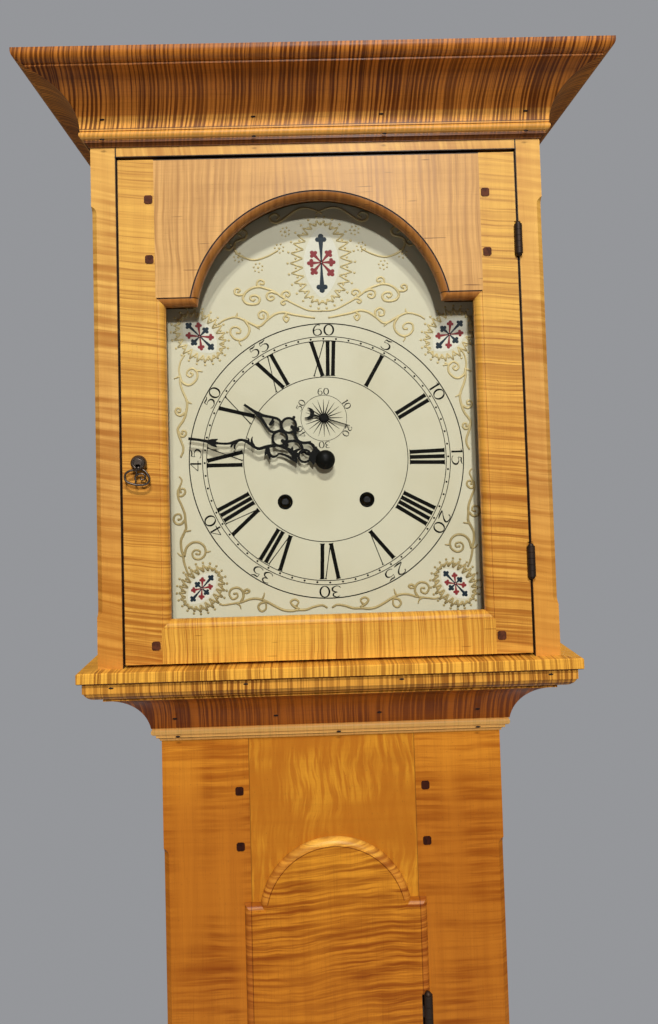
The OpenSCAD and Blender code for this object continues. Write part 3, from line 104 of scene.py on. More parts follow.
def addStudio(look):
    world = bpy.data.worlds.new("surround")
    world.use_nodes = True
    tree = world.node_tree
    seen = tree.nodes["Background"]
    seen.inputs["Color"].default_value = (*look["surround"], 1)
    lighting = tree.nodes.new("ShaderNodeBackground")
    lighting.inputs["Color"].default_value = (*look["surroundLight"], 1)
    chooser = tree.nodes.new("ShaderNodeMixShader")
    rays = tree.nodes.new("ShaderNodeLightPath")
    tree.links.new(rays.outputs["Is Camera Ray"], chooser.inputs[0])
    tree.links.new(lighting.outputs[0], chooser.inputs[1])
    tree.links.new(seen.outputs[0], chooser.inputs[2])
    tree.links.new(chooser.outputs[0], tree.nodes["World Output"].inputs["Surface"])
    scene.world = world
    for name, place, aim, width, height, watts in look["lights"]:
        lamp = bpy.data.lights.new(name, "AREA")
        lamp.shape, lamp.size, lamp.size_y, lamp.energy = "RECTANGLE", width, height, watts
        holder = bpy.data.objects.new(name, lamp)
        towards = np.array(aim) - np.array(place)
        depth = -towards / np.linalg.norm(towards)
        right = np.cross((0, 0, 1), depth)
        right /= np.linalg.norm(right)
        up = np.cross(depth, right)
        holder.matrix_world = standing(right, up, depth, place)
        holder.visible_glossy = width < 1  # the wide soft lights put no sheen on the wood
        scene.collection.objects.link(holder)
    scene.view_settings.view_transform = "Standard"


addStudio(studioLook)
print("camera and studio set")


# shader maths
class Wire:  # one output socket; arithmetic on it adds Math nodes to its tree
    def __init__(self, tree, socket):
        self.tree, self.socket = tree, socket

    def node(self, kind, settings=None, values=None, out=0):
        made = self.tree.nodes.new(kind)
        for key, value in (settings or {}).items():
            setattr(made, key, value)
        for key, value in (values or {}).items():
            if isinstance(value, Wire):
                self.tree.links.new(value.socket, made.inputs[key])
            else:
                made.inputs[key].default_value = value
        return Wire(self.tree, made.outputs[out])

    def calc(self, operation, *others, clamp=False):
        values = {i: v for i, v in enumerate((self,) + others)}
        return self.node("ShaderNodeMath", {"operation": operation, "use_clamp": clamp}, values)

    def __add__(self, other):
        return self.calc("ADD", other)

    def __radd__(self, other):
        return self.calc("ADD", other)

    def __sub__(self, other):
        return self.calc("SUBTRACT", other)

    def __rsub__(self, other):
        return (self * -1).calc("ADD", other)

    def __mul__(self, other):
        return self.calc("MULTIPLY", other)

    def __rmul__(self, other):
        return self.calc("MULTIPLY", other)

    def __pow__(self, other):
        return self.calc("POWER", other)

    def __gt__(self, other):
        return self.calc("GREATER_THAN", other)

    def __lt__(self, other):
        return self.calc("LESS_THAN", other)

    def abs(self):
        return self.calc("ABSOLUTE")

    def sin(self):
        return self.calc("SINE")

    def clipped(self):
        return self.calc("ADD", 0.0, clamp=True)

    def between(self, low, high):  # 0 below low, 1 above high, a smooth step from one to the other
        values = {"Value": self, "From Min": low, "From Max": high, "To Min": 0.0, "To Max": 1.0}
        return self.node("ShaderNodeMapRange", {"interpolation_type": "SMOOTHSTEP"}, values)

    def blend(self, first, second, kind="MIX"):  # self is how much of the second colour shows
        def colour(c):
            return c if isinstance(c, Wire) else (*c, 1)

        values = {0: self, 6: colour(first), 7: colour(second)}
        return self.node("ShaderNodeMix", {"data_type": "RGBA", "blend_type": kind}, values, out=2)

    def noise(self, scale, detail=2.0, rough=0.5, bend=0.0):
        values = {"Vector": self, "Scale": scale, "Detail": detail, "Roughness": rough, "Distortion": bend}
        return self.node("ShaderNodeTexNoise", None, values)


def startMaterial(name):
    material = bpy.data.materials.new(name)
    material.use_nodes = True
    tree = material.node_tree
    tree.nodes.clear()
    shader = tree.nodes.new("ShaderNodeBsdfPrincipled")
    output = tree.nodes.new("ShaderNodeOutputMaterial")
    tree.links.new(shader.outputs[0], output.inputs["Surface"])
    coords = tree.nodes.new("ShaderNodeTexCoord")
    return material, shader, Wire(tree, coords.outputs["Object"])


def feed(shader, place, values):  # links or plain numbers into the shader's own sockets
    for key, value in values.items():
        if isinstance(value, Wire):
            place.tree.links.new(value.socket, shader.inputs[key])
        else:
            shader.inputs[key].default_value = value


def bumped(place, height, strength, distance):
    return place.node("ShaderNodeBump", None, {"Height": height, "Strength": strength, "Distance": distance})


def splitAxes(place):
    parts = place.tree.nodes.new("ShaderNodeSeparateXYZ")
    place.tree.links.new(place.socket, parts.inputs[0])
    return [Wire(place.tree, parts.outputs[i]) for i in range(3)]


def joined(x, y, z):
    return x.node("ShaderNodeCombineXYZ", None, {0: x, 1: y, 2: z})


# woods
def grainAxes(x, y, z, grain):
    # along the grain, across it and into the board; "xy" follows a moulding round its mitre
    if len(grain) == 1:
        return {"x": (x, z, y), "y": (y, z, x), "z": (z, x, y)}[grain]
    if grain == "xy":
        front = (y * -1) > (x.abs() - 0.121)
        return x * front + y * (1 - front), z, y * front + x * (1 - front)
    rail = (x.abs() < 0.191) * (z > 2.0515)  # "frame": a rail between two stiles
    return x * rail + z * (1 - rail), z * rail + x * (1 - rail), y


mapleFigure = {  # how a board's figure runs, where its own settings say nothing else
    "spacing": 7.0,  # millimetres from band to band
    "curl": 0.8, "thin": 0.4, "streak": 0.22, "ticks": 0.0,  # strength of bands, lines, streaks and flecks
    "even": 0.4,  # how much of a band is a plain wave
    "edge": 0.0, "sharp": 1.3,  # half the width of a band's edge, where it is hard, and its steepness
    "lean": 0.0, "sway": 0.012, "flicker": 0.0025,  # how far bands slant, wander and tremble
    "hold": 7.0,  # low where a band runs far across the board
    "patchy": 0.5, "patchWide": 12, "patchLong": 9,  # how the figure comes and goes
    "fade": None,  # two heights between which it grows fainter, and what is left
    # painted light and shade: bands between heights, flat tones, arcs and sides; dark joints and painted
    # shade in the door's gap
    "paintedLightHeights": [], "paintedLightFlats": [], "paintedLightArcs": [], "edges": [], "jointsAndGapShade": [],
}


def curlyMaple(name, board):
    # curl: bands across the grain, part sine and part stretched noise, bent by slow and quick noise and
    # faded in patches; thin dark lines at twice their pace; growth streaks and fine fibres along the grain
    look = {**mapleFigure, **board}
    material, shader, place = startMaterial(name)
    axes = splitAxes(place)
    along, across, depth = grainAxes(*axes, look["grain"])
    seed, dark, hold = look["seed"], look["dark"], look["hold"]
    gap = look["spacing"] / 1000
    slow = joined(across * 10 + seed, depth * 10, along * 7).noise(1.0, 1.0)
    quick = joined(across * 40, depth * 40 + seed, along * 60).noise(1.0, 2.0)
    bent = along + across * look["lean"] + (slow - 0.5) * look["sway"] + (quick - 0.5) * look["flicker"]
    wave = (bent * (6.2832 / gap)).sin() * 0.5 + 0.5
    bands = joined(across * hold + seed, depth * hold, bent * (2.0 / gap))
    bands = bands.noise(1.0, 2.0, 0.55).between(0.34, 0.64)
    thin = joined(across * hold * 2.0, depth * hold * 2.0 + seed, bent * (4.4 / gap))
    thin = thin.noise(1.0, 1.0).between(0.54, 0.72)
    patches = joined(across * look["patchWide"], depth * 12 + seed, along * look["patchLong"])
    patches = patches.noise(1.0, 2.0).between(0.34, 0.62)
    faded = patches * look["patchy"] + (1 - look["patchy"])
    mixed = wave * look["even"] + bands * (1 - look["even"])
    if look["edge"]:
        mixed = mixed.between(0.5 - look["edge"], 0.5 + look["edge"])
    curl = (mixed ** look["sharp"] * faded).clipped()
    if look["fade"]:
        low, high, least = look["fade"]
        curl = curl * (1 - axes[2].between(low, high) * (1 - least))
    streak = joined(across * 75, depth * 75 + seed, along * 2.2).noise(1.0, 3.0, 0.55, 0.3)
    fibre = joined(across * 1500, depth * 1500, along * 22 + seed).noise(1.0, 2.0, 0.6)
    broad = joined(across * 4 + seed, depth * 4, along * 3.1).noise(1.0, 1.0)
    colour = (curl * look["curl"]).blend(look["light"], dark)
    colour = (thin * faded * look["thin"]).blend(colour, look.get("line", [c * 0.85 for c in dark]))
    colour = (streak.between(0.36, 0.72) * look["streak"]).blend(colour, look.get("streaks", dark))
    colour = (fibre.between(0.48, 0.80) * 0.24).blend(colour, [c * 0.5 for c in dark])
    colour = (broad.between(0.32, 0.70) * 0.25).blend(colour, look["warm"])
    if look["ticks"]:
        tick = joined(across * 480 + seed, depth * 60, along * 26).noise(1.0, 1.0)
        colour = (tick.between(0.735, 0.775) * look["ticks"]).blend(colour, [c * 0.55 for c in dark])
    for low, high, soft, tone in look["paintedLightHeights"]:  # painted light and shade between two heights: shadow lines, shaded coves, lit beads and paler tops
        inside = axes[2].between(low - soft, low + soft) * (1 - axes[2].between(high - soft, high + soft))
        colour = inside.blend(colour, tone, "MULTIPLY")
    for low, high, tone, amount in look["paintedLightFlats"]:  # painted light and shade as one flat colour over the figure between two heights
        colour = ((axes[2] > low) * (axes[2] < high) * amount).blend(colour, tone)
    for middle, low, high, floor, tone in look["paintedLightArcs"]:  # painted shade, sheen and dark quirk lines between two radii, above a height
        far = ((axes[0] - middle[0]) ** 2 + (axes[2] - middle[1]) ** 2) ** 0.5
        colour = ((far > low) * (far < high) * (axes[2] > floor)).blend(colour, tone, "MULTIPLY")
    for axis, low, high, tone in look["edges"]:  # painted sheen and dark quirk lines between two distances from the middle plane
        far = axes[axis].abs()
        colour = ((far > low) * (far < high)).blend(colour, tone, "MULTIPLY")
    for axis, low, high, amount in look["jointsAndGapShade"]:  # dark grime in joints, and painted shade in the gap round the door
        far = axes[axis].abs()
        seam = (far > low) * (far < high) * (axes[0].abs() < 0.192) * amount
        colour = seam.blend(colour, (0.012, 0.006, 0.004))
    speck = joined(axes[0] * 800, axes[1] * 800, axes[2] * 800).noise(1.0, 0.0)
    colour = (speck.between(0.80, 0.84) * 0.3).blend(colour, (0.08, 0.03, 0.012))
    feed(shader, place, {
        "Base Color": colour,
        "Roughness": fibre * 0.10 + (0.38 - curl * 0.06),
        "Specular IOR Level": 0.17,
        "Coat Weight": 0.04,
        "Coat Roughness": 0.25,
        "Normal": bumped(place, fibre * 0.35 + curl * 0.4, 0.14, 0.0004),
    })
    return material


def plainWood(name, look):
    # straight-grained secondary wood: long streaks and fibres, with a few pale and dark lines
    material, shader, place = startMaterial(name)
    along, across, depth = grainAxes(*splitAxes(place), look["grain"])
    seed = look.get("seed", 0.0)
    lines = joined(across * 120 + seed, depth * 120, along * 3).noise(1.0, 4.0, 0.6, 0.8)
    fibre = joined(across * 1300, depth * 1300, along * 30 + seed).noise(1.0, 2.0)
    stain = joined(across * 6, depth * 6, along * 4 + seed).noise(1.0, 3.0)
    colour = lines.between(0.35, 0.68).blend(look["light"], look["dark"])
    colour = (fibre.between(0.5, 0.8) * 0.4).blend(colour, [c * 0.5 for c in look["dark"]])
    soiled = [c * 0.6 for c in look["dark"]]
    colour = (stain.between(0.45, 0.7) * look.get("stain", 0.3)).blend(colour, soiled)
    feed(shader, place, {
        "Base Color": colour,
        "Roughness": fibre * 0.2 + look.get("rough", 0.5),
        "Specular IOR Level": look.get("sheen", 0.3),
        "Normal": bumped(place, fibre, 0.25, 0.0004),
    })
    return material


# each board's own piece of maple: colours of the wood and of its curl, how its figure runs, and the light and
# shade painted on it
amber = {"light": (0.76, 0.395, 0.092), "dark": (0.38, 0.132, 0.020), "warm": (0.64, 0.290, 0.052)}
honey = {"light": (0.79, 0.390, 0.062), "dark": (0.34, 0.104, 0.011), "warm": (0.68, 0.290, 0.036)}
pale = {"light": (0.75, 0.410, 0.125), "dark": (0.31, 0.130, 0.028), "warm": (0.66, 0.325, 0.085)}
deep = {"light": (0.50, 0.162, 0.013), "dark": (0.24, 0.050, 0.003), "warm": (0.42, 0.122, 0.008)}
gold = {"light": (0.46, 0.148, 0.010), "dark": (0.74, 0.325, 0.026), "warm": (0.40, 0.118, 0.006)}
tiger = {"light": (0.65, 0.220, 0.030), "dark": (0.062, 0.0092, 0.0012), "warm": (0.40, 0.104, 0.011)}
still = {"sway": 0.006, "flicker": 0.0016, "hold": 5.0}  # bands that run nearly straight across
corniceLook = {
    **tiger, **still, "spacing": 4.1, "curl": 0.94, "even": 0.45, "edge": 0.27, "patchy": 0.2, "sharp": 1.0,
    "thin": 0.45, "sway": 0.010,
    # painted light: the lower cove held paler where it is lit below the cornice's cast shadow
    "paintedLightHeights": [(2.0665, 2.0872, 0.0014, (1.46, 1.92, 2.3))],
    # painted light and shade on the foot: a shaded fillet, a bright line, the lit bead and a dark groove
    "paintedLightFlats": [(2.0600, 2.0662, (0.115, 0.034, 0.005), 0.78), (2.0668, 2.0684, (0.90, 0.50, 0.13), 0.8),
              (2.0684, 2.0758, (0.76, 0.36, 0.065), 0.65), (2.0758, 2.0766, (0.08, 0.025, 0.004), 0.8)],
}
doorArch = (0.0, 1.890)  # middle of the hood door's arch
lipArch = (0.0, 1.3188)  # middle of the arched lip of the trunk door
boards = {
    "hood_sides": {**amber, **still, "grain": "z", "seed": 3.1, "spacing": 8.0, "curl": 0.9},
    "hood_front_frame": {
        **amber, "grain": "frame", "seed": 7.7, "spacing": 10.5, "curl": 0.95, "even": 0.3, "sharp": 1.0,
        "thin": 0.35, "streak": 0.3, "patchy": 0.6, "lean": 0.16, "hold": 8.0, "sway": 0.010,
        # painted shade in the gap round the door, along the stiles' and the rail's edges
        "jointsAndGapShade": [(0, 0.1905, 0.1919, 0.93), (2, 2.0505, 2.0523, 0.93)],
        # painted light: paler towards the top, darker and more orange towards the bottom
        "paintedLightHeights": [(1.87, 2.2, 0.08, (1.11, 1.19, 1.08)), (1.0, 1.69, 0.06, (0.95, 0.84, 0.60))],
    },
    "hood_base_frame": {
        **honey, **still, "grain": "xy", "seed": 1.9, "spacing": 4.2, "curl": 0.8, "even": 0.25, "edge": 0.38,
        "sharp": 1.6, "thin": 0.6, "patchy": 0.6,
        "light": (0.90, 0.445, 0.056), "dark": (0.25, 0.076, 0.009), "warm": (0.76, 0.335, 0.036),
        # painted shadow line along the ledge's lower edge
        "paintedLightHeights": [(1.5600, 1.5612, 0.0002, (0.30, 0.22, 0.16))],
    },
    "cornice_front": {**corniceLook, "grain": "x", "seed": 5.3, "lean": -0.15},
    "cornice_returns": {
        # painted sheen: the returns held paler and pinker
        **corniceLook, "grain": "y", "seed": 8.2, "paintedLightHeights": [(2.0, 2.2, 0.001, (1.30, 1.55, 2.0))],
    },
    "hood_door_stiles": {
        **honey, **still, "grain": "z", "seed": 2.4, "spacing": 7.2, "curl": 0.98, "even": 0.2, "sharp": 1.2,
        "thin": 0.75, "lean": 0.11, "patchy": 0.35, "fade": (1.70, 1.95, 0.60),
        # painted shade in the gap beside the door
        "jointsAndGapShade": [(0, 0.1893, 0.1915, 0.93)],
        # painted light: paler towards the top
        "paintedLightHeights": [(1.83, 2.2, 0.08, (1.06, 1.20, 1.36))],
    },
    "hood_door_top_rail": {
        **pale, "grain": "x", "seed": 4.6, "curl": 0.75, "streak": 0.25, "ticks": 0.8,
        # painted shade on the arch's bead, which faces down, and a painted dark quirk line outside it
        "paintedLightArcs": [(doorArch, 0.0, 0.1247, 1.9144, (0.56, 0.42, 0.31)),
                 (doorArch, 0.1247, 0.1260, 1.9144, (0.06, 0.04, 0.04))],
        # painted shade on the straight beads below the shoulders, and a dark quirk line above them
        "paintedLightHeights": [(1.9, 1.9144, 0.0001, (0.68, 0.50, 0.34)), (1.9146, 1.9156, 0.0001, (0.12, 0.08, 0.07))],
        # painted shade in the gap above the door
        "jointsAndGapShade": [(2, 2.0477, 2.0495, 0.93)],
    },
    "hood_door_bottom_rail": {
        **honey, **still, "grain": "x", "seed": 6.1, "spacing": 4.6, "curl": 0.85, "even": 0.15, "sharp": 1.6,
        "thin": 0.85, "ticks": 0.7, "patchy": 0.6, "flicker": 0.003, "light": (0.85, 0.450, 0.062),
    },
    "trunk_stiles": {
        **deep, "grain": "z", "seed": 9.4, "spacing": 10.0, "curl": 0.95, "even": 0.25, "sharp": 1.6,
        "thin": 0.5, "sway": 0.010, "hold": 9.0, "patchy": 0.95, "patchWide": 18, "patchLong": 5,
        # painted light: paler near the top, under the waist moulding
        "paintedLightHeights": [(1.440, 1.60, 0.035, (1.30, 1.48, 1.48))],
    },
    "trunk_sides": {**deep, "grain": "z", "seed": 3.8, "spacing": 9.0, "curl": 0.7},
    "trunk_rails": {
        **gold, "grain": "x", "seed": 7.1, "spacing": 7.6, "curl": 0.95, "even": 0.18, "thin": 0.12,
        "sway": 0.034, "flicker": 0.007, "hold": 27.0, "patchy": 0.85, "patchWide": 18, "patchLong": 12,
        "line": (0.30, 0.080, 0.004), "streaks": (0.34, 0.095, 0.005),
        "jointsAndGapShade": [(0, 0.0806, 0.0815, 0.55)],
    },
    "trunk_door_panel": {
        **deep, "light": (0.66, 0.245, 0.018), "dark": (0.22, 0.044, 0.003), "grain": "z", "seed": 5.9,
        "spacing": 6.6, "curl": 0.98, "thin": 0.6, "even": 0.25, "sway": 0.018, "flicker": 0.004,
        "hold": 13.0, "lean": -0.06, "patchy": 0.45, "sharp": 1.1,
        # painted sheen on the arched lip, brighter on its top, and a painted dark quirk line at its inner
        # edge
        "paintedLightArcs": [(lipArch, 0.0676, 0.0760, 1.333, (1.04, 1.08, 1.7)),
                 (lipArch, 0.0676, 0.0760, 1.374, (1.12, 1.28, 1.4)),
                 (lipArch, 0.0676, 0.0760, 1.386, (1.12, 1.28, 1.5)),
                 (lipArch, 0.0667, 0.0676, 1.333, (0.45, 0.36, 0.30))],
        # painted sheen on the lip's sides and a painted dark quirk line inside it
        "edges": [(0, 0.0816, 0.0900, (0.92, 0.86, 1.3)), (0, 0.0808, 0.0816, (0.45, 0.36, 0.30))],
        # painted light: paler towards the top, darker towards the bottom
        "paintedLightHeights": [(1.345, 2.0, 0.03, (1.10, 1.19, 1.18)), (0.0, 1.29, 0.04, (0.94, 0.89, 0.9))],
    },
    "waist_moulding": {
        **honey, **still, "grain": "xy", "seed": 2.9, "spacing": 4.6, "curl": 0.88, "even": 0.25,
        "edge": 0.32, "sharp": 1.2, "thin": 0.6, "patchy": 0.4,
        "light": (0.84, 0.390, 0.054), "dark": (0.19, 0.050, 0.006),
        # figure held faint on the bead, part of its painted highlight
        "fade": (1.5040, 1.5030, 0.3),
        # painted shade in the cove, painted light on the bead, painted shadow lines under the ledge and under
        # the band
        "paintedLightHeights": [(1.5032, 1.5385, 0.0004, (0.60, 0.34, 0.17)),
                   (1.4880, 1.5032, 0.0004, (1.16, 1.16, 1.7)),
                   (1.5594, 1.5606, 0.0002, (0.30, 0.22, 0.16)),
                   (1.5462, 1.5474, 0.0002, (0.35, 0.26, 0.20))],
        # painted light and shade on the bead: its lit face, a shaded line below it and a bright fillet
        "paintedLightFlats": [(1.4932, 1.5032, (0.96, 0.56, 0.17), 0.6), (1.4918, 1.4932, (0.10, 0.04, 0.01), 0.75),
                  (1.4896, 1.4918, (0.96, 0.52, 0.15), 0.5)],
    },
    "base_boards": {**deep, "grain": "z", "seed": 6.6, "spacing": 9.0, "curl": 0.7},
    "base_mouldings": {
        **tiger, **still, "grain": "xy", "seed": 1.2, "spacing": 5.0, "curl": 0.85, "even": 0.3,
    },
    "bracket_feet": {**deep, "grain": "xy", "seed": 4.4, "spacing": 8.0, "curl": 0.7},
}
pineLook = {"light": (0.52, 0.33, 0.15), "dark": (0.40, 0.22, 0.085), "stain": 0.35}
maskShadeLook = {  # painted near-black shade on the mask, so that the gap round the door reads dark
    "light": (0.022, 0.013, 0.008), "dark": (0.010, 0.006, 0.004), "grain": "z", "rough": 0.65,
}
walnutLook = {"light": (0.045, 0.009, 0.003), "dark": (0.018, 0.004, 0.002), "rough": 0.5, "sheen": 0.12}
pegLook = {"light": (0.125, 0.036, 0.014), "dark": (0.045, 0.014, 0.007)}  # the hood door's have faded


def dress(node, material):
    for slot in nodes[node].material_slots:
        slot.material = material


for board, look in boards.items():
    dress(board, curlyMaple("maple_" + board, look))
for board, grain in (("back_board", "z"), ("seat_board", "x"), ("hood_top_board", "x")):
    dress(board, plainWood("pine_" + board, {**pineLook, "grain": grain, "seed": len(board) * 0.37}))
dress("hood_mask", plainWood("maskPaintedShade", maskShadeLook))
for board in ("trunk_pegs", "hood_door_pegs", "trunk_door_knob"):
    look = {**walnutLook, "grain": "y", "seed": len(board) * 0.21}
    if board == "hood_door_pegs":
        look.update(pegLook)
    dress(board, plainWood("walnut_" + board, look))
print("woods dressed")


# metals, paint and glass
def metal(name, look):
    # brushed or cast metal: broad tarnish, fine scratches along x and a few dark pits
    material, shader, place = startMaterial(name)
    x, y, z = splitAxes(place)
    tarnish = place.noise(look.get("patch", 55.0), 4.0, 0.6)
    scratch = joined(x * 160, y * 900, z * 2600).noise(1.0, 2.0, 0.6)
    pits = place.noise(900.0, 2.0)
    colour = (tarnish.between(0.42, 0.70) * 0.5).blend(look["colour"], look["tarnish"])
    pitted = [c * 0.35 for c in look["tarnish"]]
    colour = (pits.between(0.62, 0.72) * look.get("pits", 0.3)).blend(colour, pitted)
    if look.get("blackFront"):  # blackened arbor ends in the winding holes
        colour = (y < look["blackFront"]).blend(colour, (0.05, 0.05, 0.05))
    feed(shader, place, {
        "Base Color": colour,
        "Metallic": look.get("metallic", 1.0),
        "Roughness": tarnish * 0.25 + scratch * 0.10 + look["rough"],
        "Specular IOR Level": look.get("sheen", 0.5),
        "Normal": bumped(place, scratch * 0.6 + pits * look.get("cast", 0.3), look.get("bump", 0.12), 0.0003),
    })
    return material


brassLook = {"colour": (0.66, 0.45, 0.16), "tarnish": (0.36, 0.21, 0.07), "rough": 0.16}
metals = {
    "brass": brassLook,
    "barrelBrass": {**brassLook, "blackFront": -0.048},
    "steel": {"colour": (0.46, 0.46, 0.45), "tarnish": (0.22, 0.20, 0.18), "rough": 0.20},
    "iron": {
        "colour": (0.034, 0.022, 0.015), "tarnish": (0.070, 0.032, 0.014), "rough": 0.38, "metallic": 0.6,
        "cast": 1.0, "bump": 0.3,
    },
    "handBlack": {
        "colour": (0.003, 0.003, 0.002), "tarnish": (0.006, 0.005, 0.004), "rough": 0.30, "metallic": 0.0,
        "pits": 0.0, "sheen": 0.10,
    },
    "weightPaint": {
        "colour": (0.035, 0.035, 0.034), "tarnish": (0.07, 0.05, 0.035), "rough": 0.40, "metallic": 0.1,
        "cast": 1.0, "bump": 0.3,
    },
    "keyIron": {
        "colour": (0.11, 0.085, 0.068), "tarnish": (0.045, 0.034, 0.028), "rough": 0.22, "metallic": 0.9,
        "cast": 0.8, "bump": 0.25, "patch": 160.0,
    },
}
metalNodes = {
    "brass": ["movement_plates", "back_cock", "bell", "hood_door_lock", "centre_wheel", "hour_wheel",
              "minute_wheel", "intermediate_wheel", "third_wheel", "escape_wheel", "going_great_wheel",
              "strike_great_wheel", "pin_wheel", "gathering_wheel", "fly", "pendulum_bob"],
    "barrelBrass": ["going_barrel", "strike_barrel"],
    "steel": ["hood_lock_bolt", "anchor", "pendulum_rod", "hammer"],
    "iron": ["trunk_hinge_leaves", "hood_hinge_leaves", "hood_door_hinges", "trunk_door_hinges"],
    "handBlack": ["minute_hand", "hour_hand", "seconds_hand"],
    "weightPaint": ["going_weight", "strike_weight"],
    "keyIron": ["hood_door_key", "key_bow"],
}
madeMetals = {name: metal(name, look) for name, look in metals.items()}
for name, members in metalNodes.items():
    for member in members:
        dress(member, madeMetals[name])


def gutLine():
    # twisted gut: a fine helix of light and dark round the line
    material, shader, place = startMaterial("gutLine")
    x, y, z = splitAxes(place)
    twist = ((z * 3000 + x * 1500 + y * 1500).sin() * 0.5 + 0.5)
    colour = twist.blend((0.46, 0.33, 0.16), (0.28, 0.18, 0.08))
    bump = bumped(place, twist, 0.3, 0.0002)
    feed(shader, place, {"Base Color": colour, "Roughness": 0.55, "Normal": bump})
    return material


for member in ("going_line", "strike_line"):
    dress(member, gutLine())

paintLook = {
    "cream": (0.660, 0.625, 0.440),
    "aged": (0.600, 0.555, 0.365),
    "rough": 0.42,
}


def dialPaint(look):
    # painted sheet: clouds of age, brush marks round the middle and fine dust in the paint
    material, shader, place = startMaterial("dialPaint")
    clouds = place.noise(14.0, 4.0, 0.55, 0.3)
    dust = place.noise(700.0, 2.0)
    x, y, z = splitAxes(place)
    brush = joined(x * 60, y * 60, z * 900).noise(1.0, 2.0)
    colour = (clouds.between(0.38, 0.72) * 0.55).blend(look["cream"], look["aged"])
    colour = (dust.between(0.66, 0.74) * 0.25).blend(colour, (0.42, 0.36, 0.22))
    feed(shader, place, {
        "Base Color": colour,
        "Roughness": clouds * 0.1 + look["rough"],
        "Specular IOR Level": 0.3,
        "Normal": bumped(place, brush * 0.4 + dust * 0.2, 0.10, 0.0003),
    })
    return material


dress("dial", dialPaint(paintLook))


def clearGlass():
    # thin pane: mostly let through, with a faint skin of reflection and a trace of dust
    material, shader, place = startMaterial("doorGlass")
    dust = place.noise(40.0, 3.0, 0.6)
    feed(shader, place, {
        "Base Color": (0.03, 0.035, 0.03, 1),
        "Roughness": 0.04,
        "Alpha": dust * 0.02 + 0.02,
    })
    return material


dress("hood_door_glass", clearGlass())
print("metals, paint and glass dressed")


# mesh helpers: paths and profiles on the dial
dialMiddle = np.array([0.0013, 1.7585])
dialFace = -0.058


def addPiece(name, parts, material, body, smooth=True):
    # joins closed parts, each (points, faces), into one mesh in metres and turns its faces outwards
    offsets = np.cumsum([0] + [len(points) for points, faces in parts])
    points = np.concatenate([points for points, faces in parts])
    faces = [[int(i + offset) for i in face] for offset, part in zip(offsets, parts) for face in part[1]]
    mesh = bpy.data.meshes.new(name)
    mesh.from_pydata(points.tolist(), [], faces)
    work = bmesh.new()
    work.from_mesh(mesh)
    bmesh.ops.recalc_face_normals(work, faces=work.faces)
    work.to_mesh(mesh)
    work.free()
    mesh.polygons.foreach_set("use_smooth", [smooth] * len(mesh.polygons))
    mesh.materials.append(material)
    piece = bpy.data.objects.new(name, mesh)
    scene.collection.objects.link(piece)
    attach(piece, body)
    return piece


def ringFaces(rings, count, closed):
    # quads between neighbouring rings of count points each, with a flat face over each open end
    step = np.arange(rings if closed else rings - 1)[:, None]
    turn = np.arange(count)[None, :]
    after, other = (step + 1) % rings, (turn + 1) % count
    corners = [step * count + turn, step * count + other, after * count + other, after * count + turn]
    quads = np.stack(corners, -1).reshape(-1, 4).tolist()
    if closed:
        return quads
    return quads + [list(range(count)), list(range((rings - 1) * count, rings * count))]


profiles = {
    "flat": np.array([[-1, 0], [-1, 1], [1, 1], [1, 0]], float),
    "round": np.array([[np.cos(a), np.sin(a)] for a in np.linspace(np.pi, 0, 7)]),
}


def onDial(across, up, proud=0.0):
    # millimetres across and up from the dial's middle, and proud of its face, to metres
    y = dialFace - proud / 1000 + 0 * across
    return np.stack([dialMiddle[0] + across / 1000, y, dialMiddle[1] + up / 1000], -1)


def pathNormals(path, closed):
    # the path's unit run at each point, turned a quarter to its left
    run = np.roll(path, -1, 0) - np.roll(path, 1, 0) if closed else np.gradient(path, axis=0)
    run /= np.linalg.norm(run, axis=1, keepdims=True)
    return np.stack([-run[:, 1], run[:, 0]], 1)


def stroke(path, widths, height, profile="flat", closed=False):
    # carries a profile along a path on the dial: half the width to each side along the path's normal, and
    # its height off the face
    path = np.asarray(path, float)
    normal = pathNormals(path, closed)
    half = np.broadcast_to(np.asarray(widths, float), len(path))[:, None, None] / 2
    shape = profiles[profile]
    flat = path[:, None, :] + normal[:, None, :] * shape[None, :, 0:1] * half
    rise = np.broadcast_to(shape[None, :, 1] * height, flat.shape[:2])
    points = onDial(flat[..., 0], flat[..., 1], rise).reshape(-1, 3)
    return points, ringFaces(len(path), len(shape), closed)


def smoothPath(points, perStep=6):
    # each step is a cubic through its two points, whose slopes are half the chords between their neighbours
    p = np.asarray(points, float)
    p = np.concatenate([[2 * p[0] - p[1]], p, [2 * p[-1] - p[-2]]])
    t = np.linspace(0, 1, perStep, endpoint=False)[None, :, None]
    a, b, c, d = p[:-3, None], p[1:-2, None], p[2:-1, None], p[3:, None]
    square, cube = 2 * a - 5 * b + 4 * c - d, 3 * b - a - 3 * c + d
    curve = 0.5 * (2 * b + (c - a) * t + square * t ** 2 + cube * t ** 3)
    return np.concatenate([curve.reshape(-1, p.shape[1]), p[-2:-1]])


def circlePath(radius, centre=(0, 0), count=144):
    a = np.linspace(0, 2 * np.pi, count, endpoint=False)
    return np.stack([centre[0] + radius * np.sin(a), centre[1] + radius * np.cos(a)], 1)


def dome(centre, radius, height, sides=10):
    # a low round bead: rings of radius r cos a at height h sin a, closed by its top ring and flat foot
    a = np.linspace(0, 2 * np.pi, sides, endpoint=False)
    lift = np.radians([0, 35, 65, 86])[:, None]
    across = centre[0] + radius * np.cos(lift) * np.cos(a)
    up = centre[1] + radius * np.cos(lift) * np.sin(a)
    rise = height * np.sin(lift) + 0 * a
    return onDial(across, up, rise).reshape(-1, 3), ringFaces(4, sides, False)


